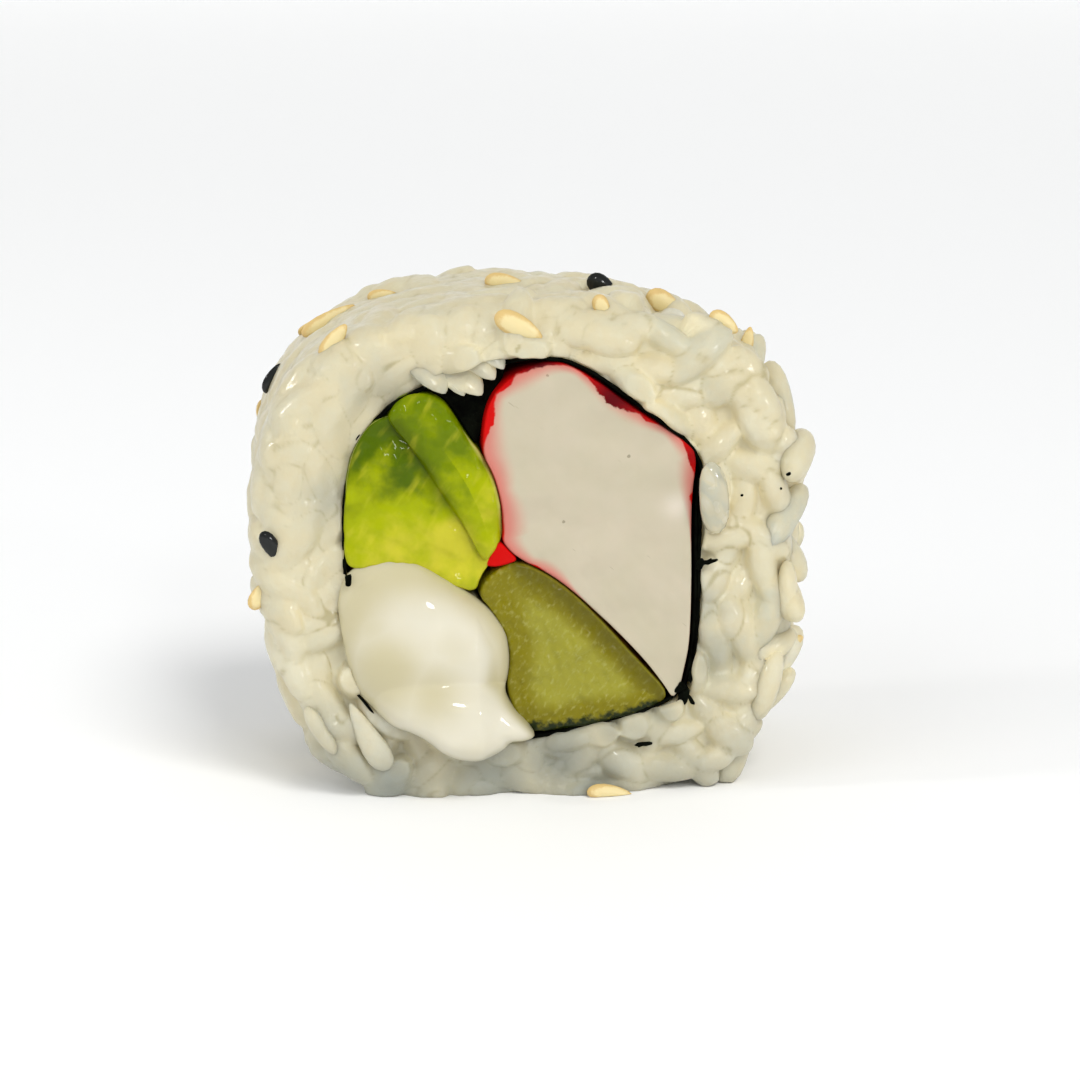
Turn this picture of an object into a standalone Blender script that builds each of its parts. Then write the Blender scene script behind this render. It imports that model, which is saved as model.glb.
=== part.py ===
"""One cut piece of an uramaki roll, a sushi roll with the rice outside, for Blender 4.5.

The piece stands on its side, as a roll lies on a plate. X is its width, Z is up from the plate,
and Y runs along the roll, from the front cut face at -Y to the back cut face at +Y. The origin
is the middle of the flat underside. Outlines are drawn on the front cut face, as (x, z) in
millimetres, and run through the whole length of the piece.
"""

import math
import random

import bmesh
import bpy
import numpy as np
from mathutils import Matrix, Vector

MM = 0.001
WELD_DISTANCE = 0.002 * MM

# Driving sizes, in millimetres.
ROLL_LENGTH = 24.0  # between the cut faces of the fillings
NORI_THICKNESS = 0.35
NORI_OVERLAP_STEP = 0.6  # from the inner turn of the nori to the outer one
NORI_FOLD_SETBACK = 3.0  # from a cut face to the fold of nori in the gap between the fillings
CLEARANCE = 0.3  # between neighbouring pieces
RICE_RIM = 1.6  # how far the edge between the side and a cut face is rounded off
FACET = 1.5  # length of one side of an outline that is drawn round

# How far the core of the rice stands back from the finished surface, which the grains make.
SIDE_RELIEF = 0.95
END_RELIEF = 0.6

# Grains of rice and sesame seeds: length, width and thickness.
GRAIN_SIZE = (6.4, 2.9, 2.5)
SEED_SIZE = (3.3, 1.9, 0.9)
SIZE_VARIATION = (0.86, 1.12)
SIDE_COLUMNS = 21  # grains round the outer side
SIDE_ROWS = 6  # grains from one cut face to the other
SIDE_BURIAL = (0.15, 0.4)  # how deep the middle of a grain lies under the core's outer side
RIM_LEAN = 0.55  # how much the grains of the outermost rows lean towards the cut face
END_COLUMNS = 21  # grains round a cut face, in each ring
# The rings of grains on a cut face: the place as a share of the way from the side to the nori, and
# how far the grains turn from lying along the ring, in radians.
END_RINGS = ((0.28, 0.3), (0.76, 0.8))
END_BURIAL = (0.35, 0.65)
PLATE_MARGIN = 0.2  # no grain reaches lower, so that the underside stays flat
SEED_COUNT = 28
SEED_SPAN = (0.16, 0.84)  # where the seeds begin and end, as a share of the way round the roll
RANDOM_SEED = 11

# The roll's outer outline over the rice grains, anticlockwise from the underside. It is rounder at
# the upper left than at the lower right. It dips under z = 0 by more than the relief, and is cut off
# there, so that the core itself rests on its flat underside.
ROLL_LINE = [
    (0.0, -1.3), (9.0, -1.3), (13.8, 0.0), (17.6, 2.1), (20.0, 5.2), (21.2, 9.5), (21.8, 14.5),
    (22.1, 20.0), (22.1, 26.5), (21.3, 31.0), (19.6, 34.9), (16.7, 37.9), (12.6, 39.7), (7.0, 40.9),
    (0.5, 41.4), (-5.5, 41.3), (-10.5, 40.5), (-15.2, 39.0), (-19.0, 36.4), (-21.5, 32.6),
    (-23.0, 27.5), (-23.3, 21.0), (-22.8, 15.6), (-21.5, 11.0), (-20.3, 7.2), (-18.0, 3.3),
    (-14.4, 0.3), (-9.0, -1.3),
]

# The nori's middle line, clockwise from the upper right corner of the fillings.
NORI_LINE = [
    (13.7, 28.3), (13.2, 23.3), (13.3, 16.0), (12.95, 11.0), (12.1, 8.2), (8.8, 6.9), (3.7, 5.6),
    (-0.5, 4.8), (-4.8, 4.7), (-9.0, 5.2), (-12.9, 6.9), (-15.0, 10.3), (-15.4, 15.5),
    (-15.5, 21.0), (-15.4, 26.9), (-12.6, 32.4), (-7.9, 34.6), (-2.8, 36.1), (1.6, 36.7),
    (5.1, 35.1), (9.3, 31.9),
]

# Lines along which two fillings meet. Each filling uses them, and stands back from them.
AVOCADO_SEAM = [(-11.9, 31.5), (-9.7, 28.9), (-8.0, 26.0), (-6.7, 24.1), (-5.4, 22.2), (-4.2, 19.6)]
AVOCADO_TO_STICK = [(-4.3, 28.6), (-3.4, 27.0), (-2.8, 24.7), (-2.6, 22.5), (-2.8, 21.4)]
AVOCADO_TO_CREAM = [
    (-15.1, 19.3), (-12.9, 19.6), (-10.6, 19.8), (-8.6, 18.5), (-6.3, 17.7), (-4.8, 17.2),
]
CREAM_TO_CUCUMBER = [
    (-4.8, 17.2), (-3.6, 15.8), (-2.4, 13.8), (-2.0, 11.7), (-2.4, 9.2), (-1.7, 7.1), (-0.6, 5.2),
]
STICK_TO_CUCUMBER = [(-1.5, 20.0), (1.5, 18.5), (4.6, 15.8)]

# The fillings' own outlines, from the lines above and their free sides.
STICK_OUTLINE = AVOCADO_TO_STICK + STICK_TO_CUCUMBER + [
    (8.6, 11.8), (11.0, 8.9), (11.9, 9.3), (12.7, 12.5), (12.9, 16.6), (12.8, 24.9), (13.1, 27.6),
    (12.4, 29.0), (8.5, 31.6), (4.6, 34.5), (1.8, 36.2), (-0.2, 36.0), (-2.3, 34.9), (-3.8, 33.1),
    (-4.3, 30.8),
]
AVOCADO_RIGHT_OUTLINE = AVOCADO_SEAM[::-1] + [
    (-10.6, 33.2), (-8.0, 33.3), (-7.0, 32.4), (-5.4, 29.8),
] + AVOCADO_TO_STICK + [(-3.6, 20.2)]
AVOCADO_LEFT_OUTLINE = AVOCADO_TO_CREAM + [(-4.4, 18.6)] + AVOCADO_SEAM[::-1] + [
    (-13.3, 30.4), (-14.8, 27.6), (-15.1, 24.0),
]
CUCUMBER_OUTLINE = CREAM_TO_CUCUMBER + [
    (3.1, 5.9), (6.0, 6.5), (9.0, 7.5), (10.3, 8.6), (8.3, 11.2),
] + STICK_TO_CUCUMBER[::-1] + [(-3.4, 19.0)]
CREAM_OUTLINE = CREAM_TO_CUCUMBER[::-1] + AVOCADO_TO_CREAM[-2::-1] + [
    (-15.1, 15.2), (-14.7, 10.4), (-12.6, 7.3), (-8.8, 5.6), (-4.6, 4.9),
]

# A fold of nori lies deep in the gap between the stick, the avocado and the nori above them.
NORI_FOLD = [
    (-8.1, 34.35), (-7.6, 33.8), (-6.8, 33.1), (-5.5, 31.0), (-5.0, 30.4), (-4.75, 31.2),
    (-4.35, 33.3), (-3.0, 35.4), (-3.1, 36.0),
]

# The cream swells out of the front in two lobes: the middle (x, z), half sizes (x, y, z) and the
# tilt in degrees.
CREAM_LOBES = [
    ((-8.5, 13.2), (6.5, 2.9, 5.8), 0.0),
    ((-6.6, 6.9), (5.9, 3.3, 3.4), 12.0),
]
# No grain stands out of the front within this many times the lower lobe's half sizes (x, z), so
# that the cream hangs clear of the rice.
CREAM_BERTH = (1.3, 1.55)


def clear_scene():
    """Removes every object, so that only this model is left."""
    for obj in list(bpy.data.objects):
        bpy.data.objects.remove(obj, do_unlink=True)


def make_collection(name):
    collection = bpy.data.collections.new(name)
    bpy.context.scene.collection.children.link(collection)
    return collection


def make_material(name, colour, roughness):
    material = bpy.data.materials.new(name)
    material.use_nodes = True
    shader = material.node_tree.nodes["Principled BSDF"]
    shader.inputs["Base Color"].default_value = (*colour, 1.0)
    shader.inputs["Roughness"].default_value = roughness
    shader.inputs["Metallic"].default_value = 0.0
    material.diffuse_color = (*colour, 1.0)
    return material


def soften(points, passes):
    """Rounds the corners of a closed outline, cutting each corner at a quarter of its sides."""
    line = np.array(points, float)
    for _ in range(passes):
        following = np.roll(line, -1, axis=0)
        pairs = np.stack([0.75 * line + 0.25 * following, 0.25 * line + 0.75 * following], axis=1)
        line = pairs.reshape(-1, 2)
    return line


def spread(points, count):
    """The closed outline as count points, evenly spaced along it."""
    closed = np.vstack([points, points[:1]])
    along = np.concatenate([[0.0], np.cumsum(np.linalg.norm(np.diff(closed, axis=0), axis=1))])
    wanted = np.linspace(0.0, along[-1], count, endpoint=False)
    return np.column_stack([np.interp(wanted, along, closed[:, axis]) for axis in (0, 1)])


def outward_normals(points):
    """A unit normal for each point of a closed outline, pointing away from its inside."""
    tangent = np.roll(points, -1, axis=0) - np.roll(points, 1, axis=0)
    normal = np.column_stack([tangent[:, 1], -tangent[:, 0]])
    normal /= np.linalg.norm(normal, axis=1, keepdims=True)
    following = np.roll(points, -1, axis=0)
    signed_area = np.sum(points[:, 0] * following[:, 1] - following[:, 0] * points[:, 1])
    return normal * np.sign(signed_area)


def grow(points, distance):
    """Moves a closed outline outwards by distance, or inwards where it is negative."""
    return points + outward_normals(points) * distance


def perimeter(points):
    return float(np.sum(np.linalg.norm(points - np.roll(points, 1, axis=0), axis=1)))


def drawn_round(points, inset):
    """The control points as a rounded outline of even facets, moved inwards by inset."""
    softened = soften(points, 2)
    return grow(spread(softened, round(perimeter(softened) / FACET)), -inset)


def nori_loops():
    """The outline of the nori, and that of the hole in the rice round it.

    The nori is a band that starts at the upper right, runs once round the fillings, climbs over its
    own beginning and overlaps itself down the right side.
    """
    line = drawn_round(NORI_LINE, 0.0)
    normal = outward_normals(line)
    count = len(line)
    overlap = count // 6
    climb = count // 12
    step = np.arange(count + overlap)
    lift = NORI_OVERLAP_STEP * np.clip((step - (count - climb)) / climb, 0.0, 1.0)
    middle = line[step % count] + normal[step % count] * lift[:, None]
    outer = middle + normal[step % count] * NORI_THICKNESS / 2
    inner = middle - normal[step % count] * NORI_THICKNESS / 2
    fade = np.clip((overlap + climb - np.arange(count)) / climb, 0.0, 1.0)
    highest = np.maximum(lift[:count], NORI_OVERLAP_STEP * fade)
    hole = line + normal * (NORI_THICKNESS / 2 + CLEARANCE + highest)[:, None]
    return np.vstack([outer, inner[::-1]]), hole


def mesh_of_curve(curve, name, collection):
    """Makes the curve object a mesh object in its place, with its caps welded to its sides."""
    bpy.context.view_layer.update()
    graph = bpy.context.evaluated_depsgraph_get()
    mesh = bpy.data.meshes.new_from_object(curve.evaluated_get(graph))
    shape = bmesh.new()
    shape.from_mesh(mesh)
    bmesh.ops.remove_doubles(shape, verts=shape.verts, dist=WELD_DISTANCE)
    bmesh.ops.dissolve_limit(shape, angle_limit=math.radians(0.5), verts=shape.verts, edges=shape.edges)
    bmesh.ops.recalc_face_normals(shape, faces=shape.faces)
    shape.to_mesh(mesh)
    shape.free()
    obj = bpy.data.objects.new(name, mesh)
    obj.matrix_world = curve.matrix_world.copy()
    collection.objects.link(obj)
    bpy.data.objects.remove(curve, do_unlink=True)
    return obj


def make_prism(name, outline, length, collection, middle_y=0.0):
    """A straight solid of that outline in the XZ plane, in millimetres, running along Y."""
    data = bpy.data.curves.new(name + "_outline", "CURVE")
    data.dimensions = "2D"
    data.fill_mode = "BOTH"
    data.extrude = length * MM / 2
    spline = data.splines.new("POLY")
    spline.points.add(len(outline) - 1)
    for point, (x, z) in zip(spline.points, outline):
        point.co = (x * MM, z * MM, 0.0, 1.0)
    spline.use_cyclic_u = True
    curve = bpy.data.objects.new(name + "_outline", data)
    curve.rotation_euler = (math.radians(90), 0.0, 0.0)
    curve.location = (0.0, middle_y * MM, 0.0)
    collection.objects.link(curve)
    return mesh_of_curve(curve, name, collection)


def apply_boolean(obj, operation, operand):
    """Joins or cuts obj with an object or a whole collection, and keeps only the result."""
    modifier = obj.modifiers.new(operation.title(), "BOOLEAN")
    modifier.operation = operation
    modifier.solver = "MANIFOLD"
    if isinstance(operand, bpy.types.Collection):
        modifier.operand_type = "COLLECTION"
        modifier.collection = operand
        used = list(operand.objects)
    else:
        modifier.object = operand
        used = [operand]
    bpy.context.view_layer.update()
    graph = bpy.context.evaluated_depsgraph_get()
    mesh = bpy.data.meshes.new_from_object(obj.evaluated_get(graph))
    obj.modifiers.remove(modifier)
    obj.data = mesh
    for other in used:
        bpy.data.objects.remove(other, do_unlink=True)


def drop_scraps(obj):
    """Keeps the largest connected body of the mesh and deletes loose scraps."""
    shape = bmesh.new()
    shape.from_mesh(obj.data)
    left = set(shape.verts)
    bodies = []
    while left:
        todo = [left.pop()]
        body = set(todo)
        while todo:
            for edge in todo.pop().link_edges:
                for vert in edge.verts:
                    if vert in left:
                        left.remove(vert)
                        body.add(vert)
                        todo.append(vert)
        bodies.append(body)
    bodies.sort(key=len)
    bmesh.ops.delete(shape, geom=[vert for body in bodies[:-1] for vert in body], context="VERTS")
    shape.to_mesh(obj.data)
    shape.free()


def finish(obj, material, smooth_angle=40.0):
    obj.data.materials.clear()
    obj.data.materials.append(material)
    obj.data.shade_smooth()
    obj.data.set_sharp_from_angle(angle=math.radians(smooth_angle))


def round_rims(obj, width, segments):
    """Rounds the edges between the sides and the cut faces, and makes that part of the mesh."""
    bevel = obj.modifiers.new("Soft rim", "BEVEL")
    bevel.width = width * MM
    bevel.segments = segments
    bevel.limit_method = "ANGLE"
    bevel.angle_limit = math.radians(60)
    bevel.use_clamp_overlap = True
    bpy.context.view_layer.update()
    graph = bpy.context.evaluated_depsgraph_get()
    mesh = bpy.data.meshes.new_from_object(obj.evaluated_get(graph))
    obj.modifiers.remove(bevel)
    obj.data = mesh


def make_filling(name, outline, material, collection, rim, proud):
    """A filling that runs through the roll, stood back from its neighbours, with softened rims.

    It stands out of both cut faces by proud, in millimetres.
    """
    length = ROLL_LENGTH + 2 * proud
    obj = make_prism(name, drawn_round(outline, CLEARANCE / 2), length, collection)
    round_rims(obj, rim, 2)
    finish(obj, material)
    return obj


def make_lobe(centre, half_sizes, tilt, collection):
    """Half an ellipsoid in front of the cut face, flat behind, where the cream swells out."""
    back_y = -ROLL_LENGTH / 2 - CLEARANCE
    shape = bmesh.new()
    bmesh.ops.create_uvsphere(shape, u_segments=20, v_segments=12, radius=1.0)
    placed = (
        Matrix.Translation(Vector((centre[0], -ROLL_LENGTH / 2, centre[1])) * MM)
        @ Matrix.Rotation(math.radians(tilt), 4, "Y")
        @ Matrix.Diagonal((*(size * MM for size in half_sizes), 1.0))
    )
    bmesh.ops.transform(shape, matrix=placed, verts=shape.verts)
    cut = bmesh.ops.bisect_plane(
        shape,
        geom=shape.verts[:] + shape.edges[:] + shape.faces[:],
        plane_co=(0.0, back_y * MM, 0.0),
        plane_no=(0.0, 1.0, 0.0),
        clear_outer=True,
    )
    rim = [item for item in cut["geom_cut"] if isinstance(item, bmesh.types.BMEdge)]
    bmesh.ops.contextual_create(shape, geom=rim)
    bmesh.ops.recalc_face_normals(shape, faces=shape.faces)
    mesh = bpy.data.meshes.new("lobe")
    shape.to_mesh(mesh)
    shape.free()
    collection.objects.link(bpy.data.objects.new("lobe", mesh))


def make_cream(material, collection):
    """The soft cream: a body among the other fillings, with two lobes that swell out of the front."""
    front_y = -ROLL_LENGTH / 2 - 2 * CLEARANCE
    back_y = ROLL_LENGTH / 2
    outline = drawn_round(CREAM_OUTLINE, CLEARANCE / 2)
    cream = make_prism("cream", outline, back_y - front_y, collection, (back_y + front_y) / 2)
    lobes = make_collection("cream lobes")
    for centre, half_sizes, tilt in CREAM_LOBES:
        make_lobe(centre, half_sizes, tilt, lobes)
    apply_boolean(cream, "UNION", lobes)
    bpy.data.collections.remove(lobes)
    drop_scraps(cream)
    finish(cream, material, 50.0)
    return cream


def make_ball_mesh(name, segments, rings, power):
    """A low ball of unit size about its own X. Its ends are the blunter, the lower the power is."""
    shape = bmesh.new()
    bmesh.ops.create_uvsphere(shape, u_segments=segments, v_segments=rings, radius=0.5)
    bmesh.ops.rotate(shape, matrix=Matrix.Rotation(math.radians(90), 3, "Y"), verts=shape.verts)
    for vert in shape.verts:
        reach = math.hypot(vert.co.y, vert.co.z)
        if reach > WELD_DISTANCE:
            swell = 0.5 * (2 * reach) ** power / reach
            vert.co.y *= swell
            vert.co.z *= swell
    mesh = bpy.data.meshes.new(name)
    shape.to_mesh(mesh)
    shape.free()
    return mesh


def lay(mesh, place, outwards, along, size, collection):
    """Lays a grain or seed at place, with its length along one direction and its thickness outwards."""
    outwards = outwards.normalized()
    across = outwards.cross(along).normalized()
    along = across.cross(outwards)
    turned = Matrix((along, across, outwards)).transposed().to_4x4()
    obj = bpy.data.objects.new(mesh.name, mesh)
    obj.matrix_world = (
        Matrix.Translation(place * MM) @ turned @ Matrix.Diagonal((*(s * MM for s in size), 1.0))
    )
    collection.objects.link(obj)


def varied(size, dice):
    """A size with a little natural variation."""
    return [s * dice.uniform(*SIZE_VARIATION) for s in size]


def side_frames(relief, count):
    """Points round the outer side with their outward and sideways directions, as 3D vectors."""
    outline = spread(drawn_round(ROLL_LINE, relief), count)
    for (x, z), (normal_x, normal_z) in zip(outline, outward_normals(outline)):
        yield Vector((x, 0.0, z)), Vector((normal_x, 0.0, normal_z)), Vector((-normal_z, 0.0, normal_x))


def turned_from(around, onwards, heading):
    """The direction at that angle from one direction towards another."""
    return around * math.cos(heading) + onwards * math.sin(heading)


def stays_off_plate(spot, along):
    """Whether a grain at that spot ends above the plate."""
    width, reach = GRAIN_SIZE[1] / 2, GRAIN_SIZE[0] / 2 * abs(along.z)
    return spot.z - max(width, reach) > PLATE_MARGIN


def lay_side_grains(mesh, dice, collection):
    """Grains pressed into the outer side, in staggered rows that run round the roll."""
    frames = list(side_frames(SIDE_RELIEF, 2 * SIDE_COLUMNS))
    reach = ROLL_LENGTH / 2 - RICE_RIM
    for row in range(SIDE_ROWS):
        row_y = (2 * row / (SIDE_ROWS - 1) - 1) * reach
        at_rim = row in (0, SIDE_ROWS - 1)
        lean = Vector((0.0, math.copysign(RIM_LEAN, row_y) if at_rim else 0.0, 0.0))
        swing = 0.5 if at_rim else 1.3
        for place, normal, around in frames[row % 2::2]:
            burial = dice.uniform(*SIDE_BURIAL) + (RICE_RIM / 3 if at_rim else 0.0)
            spot = place - normal * burial + Vector((0.0, row_y + dice.uniform(-0.5, 0.5), 0.0))
            along = turned_from(around, Vector((0.0, 1.0, 0.0)), dice.uniform(-swing, swing))
            size = varied(GRAIN_SIZE, dice)
            if stays_off_plate(spot, along):
                lay(mesh, spot, normal + lean, along, size, collection)


def under_cream(x, z):
    """Whether the front of the rice at (x, z) lies behind the lower lobe of the cream."""
    (middle_x, middle_z), (half_x, _, half_z), _ = CREAM_LOBES[1]
    berth_x, berth_z = CREAM_BERTH
    return math.hypot((x - middle_x) / (half_x * berth_x), (z - middle_z) / (half_z * berth_z)) < 1.0


def lay_end_grains(mesh, hole, dice, collection):
    """Grains that show in the cut rice, in two rings between the nori and the outer side."""
    for side in (-1, 1):
        for ring, (share, swing) in enumerate(END_RINGS):
            for outer, across, around in side_frames(SIDE_RELIEF, END_COLUMNS):
                away = hole - np.array((outer.x, outer.z))
                inwards = away[np.argmin(np.linalg.norm(away, axis=1))]
                depth = share + dice.uniform(-0.06, 0.06)
                shift = (ring * 0.5 + dice.uniform(-0.12, 0.12)) * GRAIN_SIZE[0]
                spot = outer + Vector((inwards[0], 0.0, inwards[1])) * depth + around * shift
                spot.y = side * (ROLL_LENGTH / 2 - END_RELIEF - dice.uniform(*END_BURIAL))
                along = turned_from(around, across, dice.uniform(-swing, swing))
                size = varied(GRAIN_SIZE, dice)
                hidden = side < 0 and under_cream(spot.x, spot.z)
                if stays_off_plate(spot, along) and not hidden:
                    lay(mesh, spot, Vector((0.0, side, 0.0)), along, size, collection)


def lay_seeds(mesh, dice, collection):
    """Sesame seeds stuck on the grains of the top and the flanks."""
    frames = list(side_frames(SIDE_RELIEF / 4, 90))
    first, last = SEED_SPAN
    for number in range(SEED_COUNT):
        share = first + (last - first) * (number + dice.uniform(0.0, 0.6)) / SEED_COUNT
        place, normal, around = frames[int(share * len(frames))]
        spot = place + Vector((0.0, dice.uniform(-0.4, 0.4) * ROLL_LENGTH, 0.0))
        along = turned_from(around, Vector((0.0, 1.0, 0.0)), dice.uniform(0.0, math.pi))
        lay(mesh, spot, normal, along, varied(SEED_SIZE, dice), collection)


def make_box(name, low, high, collection):
    """A box between two corners, in millimetres."""
    shape = bmesh.new()
    bmesh.ops.create_cube(shape, size=1.0)
    size = Vector(high) - Vector(low)
    middle = (Vector(high) + Vector(low)) / 2
    placed = Matrix.Translation(middle * MM) @ Matrix.Diagonal((*(size * MM), 1.0))
    bmesh.ops.transform(shape, matrix=placed, verts=shape.verts)
    mesh = bpy.data.meshes.new(name)
    shape.to_mesh(mesh)
    shape.free()
    obj = bpy.data.objects.new(name, mesh)
    collection.objects.link(obj)
    return obj


def make_rice(hole, material, collection, cutters):
    """The rice: a core with grains and sesame seeds fused on.

    It is cut out round the nori, and flat underneath where it rests.
    """
    dice = random.Random(RANDOM_SEED)
    core_length = ROLL_LENGTH - 2 * END_RELIEF
    rice = make_prism("rice", drawn_round(ROLL_LINE, SIDE_RELIEF), core_length, collection)
    round_rims(rice, RICE_RIM, 2)
    grains = make_collection("grains")
    grain = make_ball_mesh("grain", segments=6, rings=4, power=0.6)
    seed = make_ball_mesh("sesame seed", segments=6, rings=3, power=0.9)
    lay_side_grains(grain, dice, grains)
    lay_end_grains(grain, hole, dice, grains)
    lay_seeds(seed, dice, grains)
    apply_boolean(rice, "UNION", grains)
    bpy.data.collections.remove(grains)
    apply_boolean(rice, "DIFFERENCE", make_prism("hole cutter", hole, 2 * ROLL_LENGTH, cutters))
    far = 4 * ROLL_LENGTH
    below = make_box("plate cutter", (-far, -far, -far), (far, far, 0.0), cutters)
    apply_boolean(rice, "DIFFERENCE", below)
    drop_scraps(rice)
    finish(rice, material, 35.0)
    return rice


def make_nori(outline, material, collection, cutters):
    """The nori: a thin band that overlaps itself, with a fold in the gap between the fillings."""
    length = ROLL_LENGTH - CLEARANCE
    nori = make_prism("nori", outline, length, collection)
    fold = make_prism("nori fold", NORI_FOLD, length - 2 * NORI_FOLD_SETBACK, cutters)
    apply_boolean(nori, "UNION", fold)
    finish(nori, material)
    return nori


def build():
    clear_scene()
    roll = make_collection("uramaki roll")
    cutters = make_collection("cutters")
    materials = {
        "rice": make_material("cooked rice", (0.74, 0.69, 0.53), 0.35),
        "nori": make_material("nori", (0.008, 0.009, 0.007), 0.45),
        "stick": make_material("crab stick", (0.70, 0.62, 0.50), 0.4),
        "avocado": make_material("avocado", (0.36, 0.42, 0.02), 0.4),
        "cucumber": make_material("cucumber", (0.27, 0.27, 0.06), 0.3),
        "cream": make_material("soft cream", (0.84, 0.79, 0.64), 0.25),
    }
    nori_outline, hole = nori_loops()
    make_rice(hole, materials["rice"], roll, cutters)
    make_nori(nori_outline, materials["nori"], roll, cutters)
    make_filling("crab_stick", STICK_OUTLINE, materials["stick"], roll, 0.35, 0.0)
    make_filling("avocado_left", AVOCADO_LEFT_OUTLINE, materials["avocado"], roll, 0.5, -0.3)
    make_filling("avocado_right", AVOCADO_RIGHT_OUTLINE, materials["avocado"], roll, 0.5, 0.3)
    make_filling("cucumber", CUCUMBER_OUTLINE, materials["cucumber"], roll, 0.3, 0.1)
    make_cream(materials["cream"], roll)
    bpy.data.collections.remove(cutters)


build()
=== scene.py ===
"""Dresses one cut piece of an uramaki roll, a sushi roll with its rice outside, for Blender 4.5.

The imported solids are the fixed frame, and every one of them is replaced by a detailed piece of the
same form. Outlines are drawn on the front cut face as (x, z) in millimetres, y runs along the roll,
and the front cut face looks towards -Y. Surfaces are worked out with numpy as whole arrays: a
function of two parameters on a grid, or a profile carried along an outline.
"""

import logging
import math
from dataclasses import dataclass, field
from enum import Enum

import bpy
import numpy as np
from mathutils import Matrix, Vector
from mathutils.bvhtree import BVHTree


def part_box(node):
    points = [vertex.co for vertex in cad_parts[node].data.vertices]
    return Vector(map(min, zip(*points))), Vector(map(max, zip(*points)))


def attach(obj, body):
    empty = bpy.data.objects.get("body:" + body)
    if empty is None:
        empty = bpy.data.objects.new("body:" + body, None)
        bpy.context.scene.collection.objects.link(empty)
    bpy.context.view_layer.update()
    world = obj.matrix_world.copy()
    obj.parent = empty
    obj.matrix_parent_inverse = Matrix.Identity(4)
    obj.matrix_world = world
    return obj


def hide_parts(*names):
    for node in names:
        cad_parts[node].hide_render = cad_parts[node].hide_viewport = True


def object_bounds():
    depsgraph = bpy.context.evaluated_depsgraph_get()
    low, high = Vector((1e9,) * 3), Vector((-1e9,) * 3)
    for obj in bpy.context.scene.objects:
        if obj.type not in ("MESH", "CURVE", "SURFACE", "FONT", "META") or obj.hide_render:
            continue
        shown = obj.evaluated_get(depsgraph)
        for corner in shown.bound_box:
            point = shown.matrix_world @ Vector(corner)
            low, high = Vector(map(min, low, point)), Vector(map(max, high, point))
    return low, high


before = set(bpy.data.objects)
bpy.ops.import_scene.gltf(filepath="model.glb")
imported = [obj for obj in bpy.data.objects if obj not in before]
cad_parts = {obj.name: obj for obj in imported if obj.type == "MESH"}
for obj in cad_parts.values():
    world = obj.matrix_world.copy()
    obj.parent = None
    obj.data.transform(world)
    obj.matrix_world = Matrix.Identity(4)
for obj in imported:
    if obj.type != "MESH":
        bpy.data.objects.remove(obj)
CAD_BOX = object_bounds()

Array = np.ndarray
Colour = tuple[float, float, float]
Place = tuple[float, float, float]
Values = dict[str, Array]
Mesh = bpy.types.Mesh
Material = bpy.types.Material
Node = bpy.types.Node
Socket = bpy.types.NodeSocket
log = logging.getLogger("uramaki")

MM = 0.001
BODY = "root"

# The cut faces of the fillings, in millimetres, from the crab stick's solid.
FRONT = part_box("crab_stick")[0].y / MM
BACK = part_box("crab_stick")[1].y / MM

# Driving sizes, in millimetres.
NORI_THICKNESS = 0.28
NORI_STEP = 0.28  # from the inner turn of the nori to the outer one
NORI_SNUG = 0.04  # how far the rice reaches over the nori's outer face
NORI_SNUGGER = 0.22  # how much further it does so at the left and below
GRAIN = (6.4, 2.9, 2.5)  # length, width and thickness of a cooked grain
SEED = (3.4, 1.95, 0.95)  # the same of a sesame seed
SEAM_OVERLAP = 0.9  # how far the left slice of avocado runs under the right one
TONE_BLEND = 0.2  # over how much height the colours of neighbouring grains mix
BARE_TONE = 0.35  # colour of the rice where no grain is on top
RISE_LIMITS = (-1.5, 1.4)  # how deep and how high a grain can change the bare surface
RISE_REACH = 0.8  # how far past its own end a grain can do so
TAPER_SPREAD = 0.16  # how much the taper of grains varies
BEND_SPREAD = 0.22  # how much grains bend, as a share of half their width

# The roll's outer outline over the grains, anticlockwise from the underside.
ROLL_LINE = [
    (0.0, -1.3), (9.0, -1.3), (13.8, 0.0), (17.6, 2.1), (20.0, 5.2), (21.2, 9.5), (21.8, 14.5),
    (22.1, 20.0), (22.1, 26.5), (21.3, 31.0), (19.6, 34.9), (16.7, 37.9), (12.6, 39.7), (7.0, 40.9),
    (0.5, 41.4), (-5.5, 41.3), (-10.5, 40.5), (-15.2, 39.0), (-19.0, 36.4), (-21.5, 32.6),
    (-23.0, 27.5), (-23.3, 21.0), (-22.8, 15.6), (-21.5, 11.0), (-20.3, 7.2), (-18.0, 3.3),
    (-14.4, 0.3), (-9.0, -1.3),
]

# The nori's middle line, clockwise from the upper right corner of the fillings.
NORI_LINE = [
    (13.7, 28.3), (13.2, 23.3), (13.3, 16.0), (12.95, 11.0), (12.1, 8.2), (8.8, 6.9), (3.7, 5.6),
    (-0.5, 4.8), (-4.8, 4.7), (-9.0, 5.2), (-12.9, 6.9), (-15.0, 10.3), (-15.4, 15.5),
    (-15.5, 21.0), (-15.4, 26.9), (-12.6, 32.4), (-7.9, 34.6), (-2.8, 36.1), (1.6, 36.7),
    (5.1, 35.1), (9.3, 31.9),
]

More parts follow.
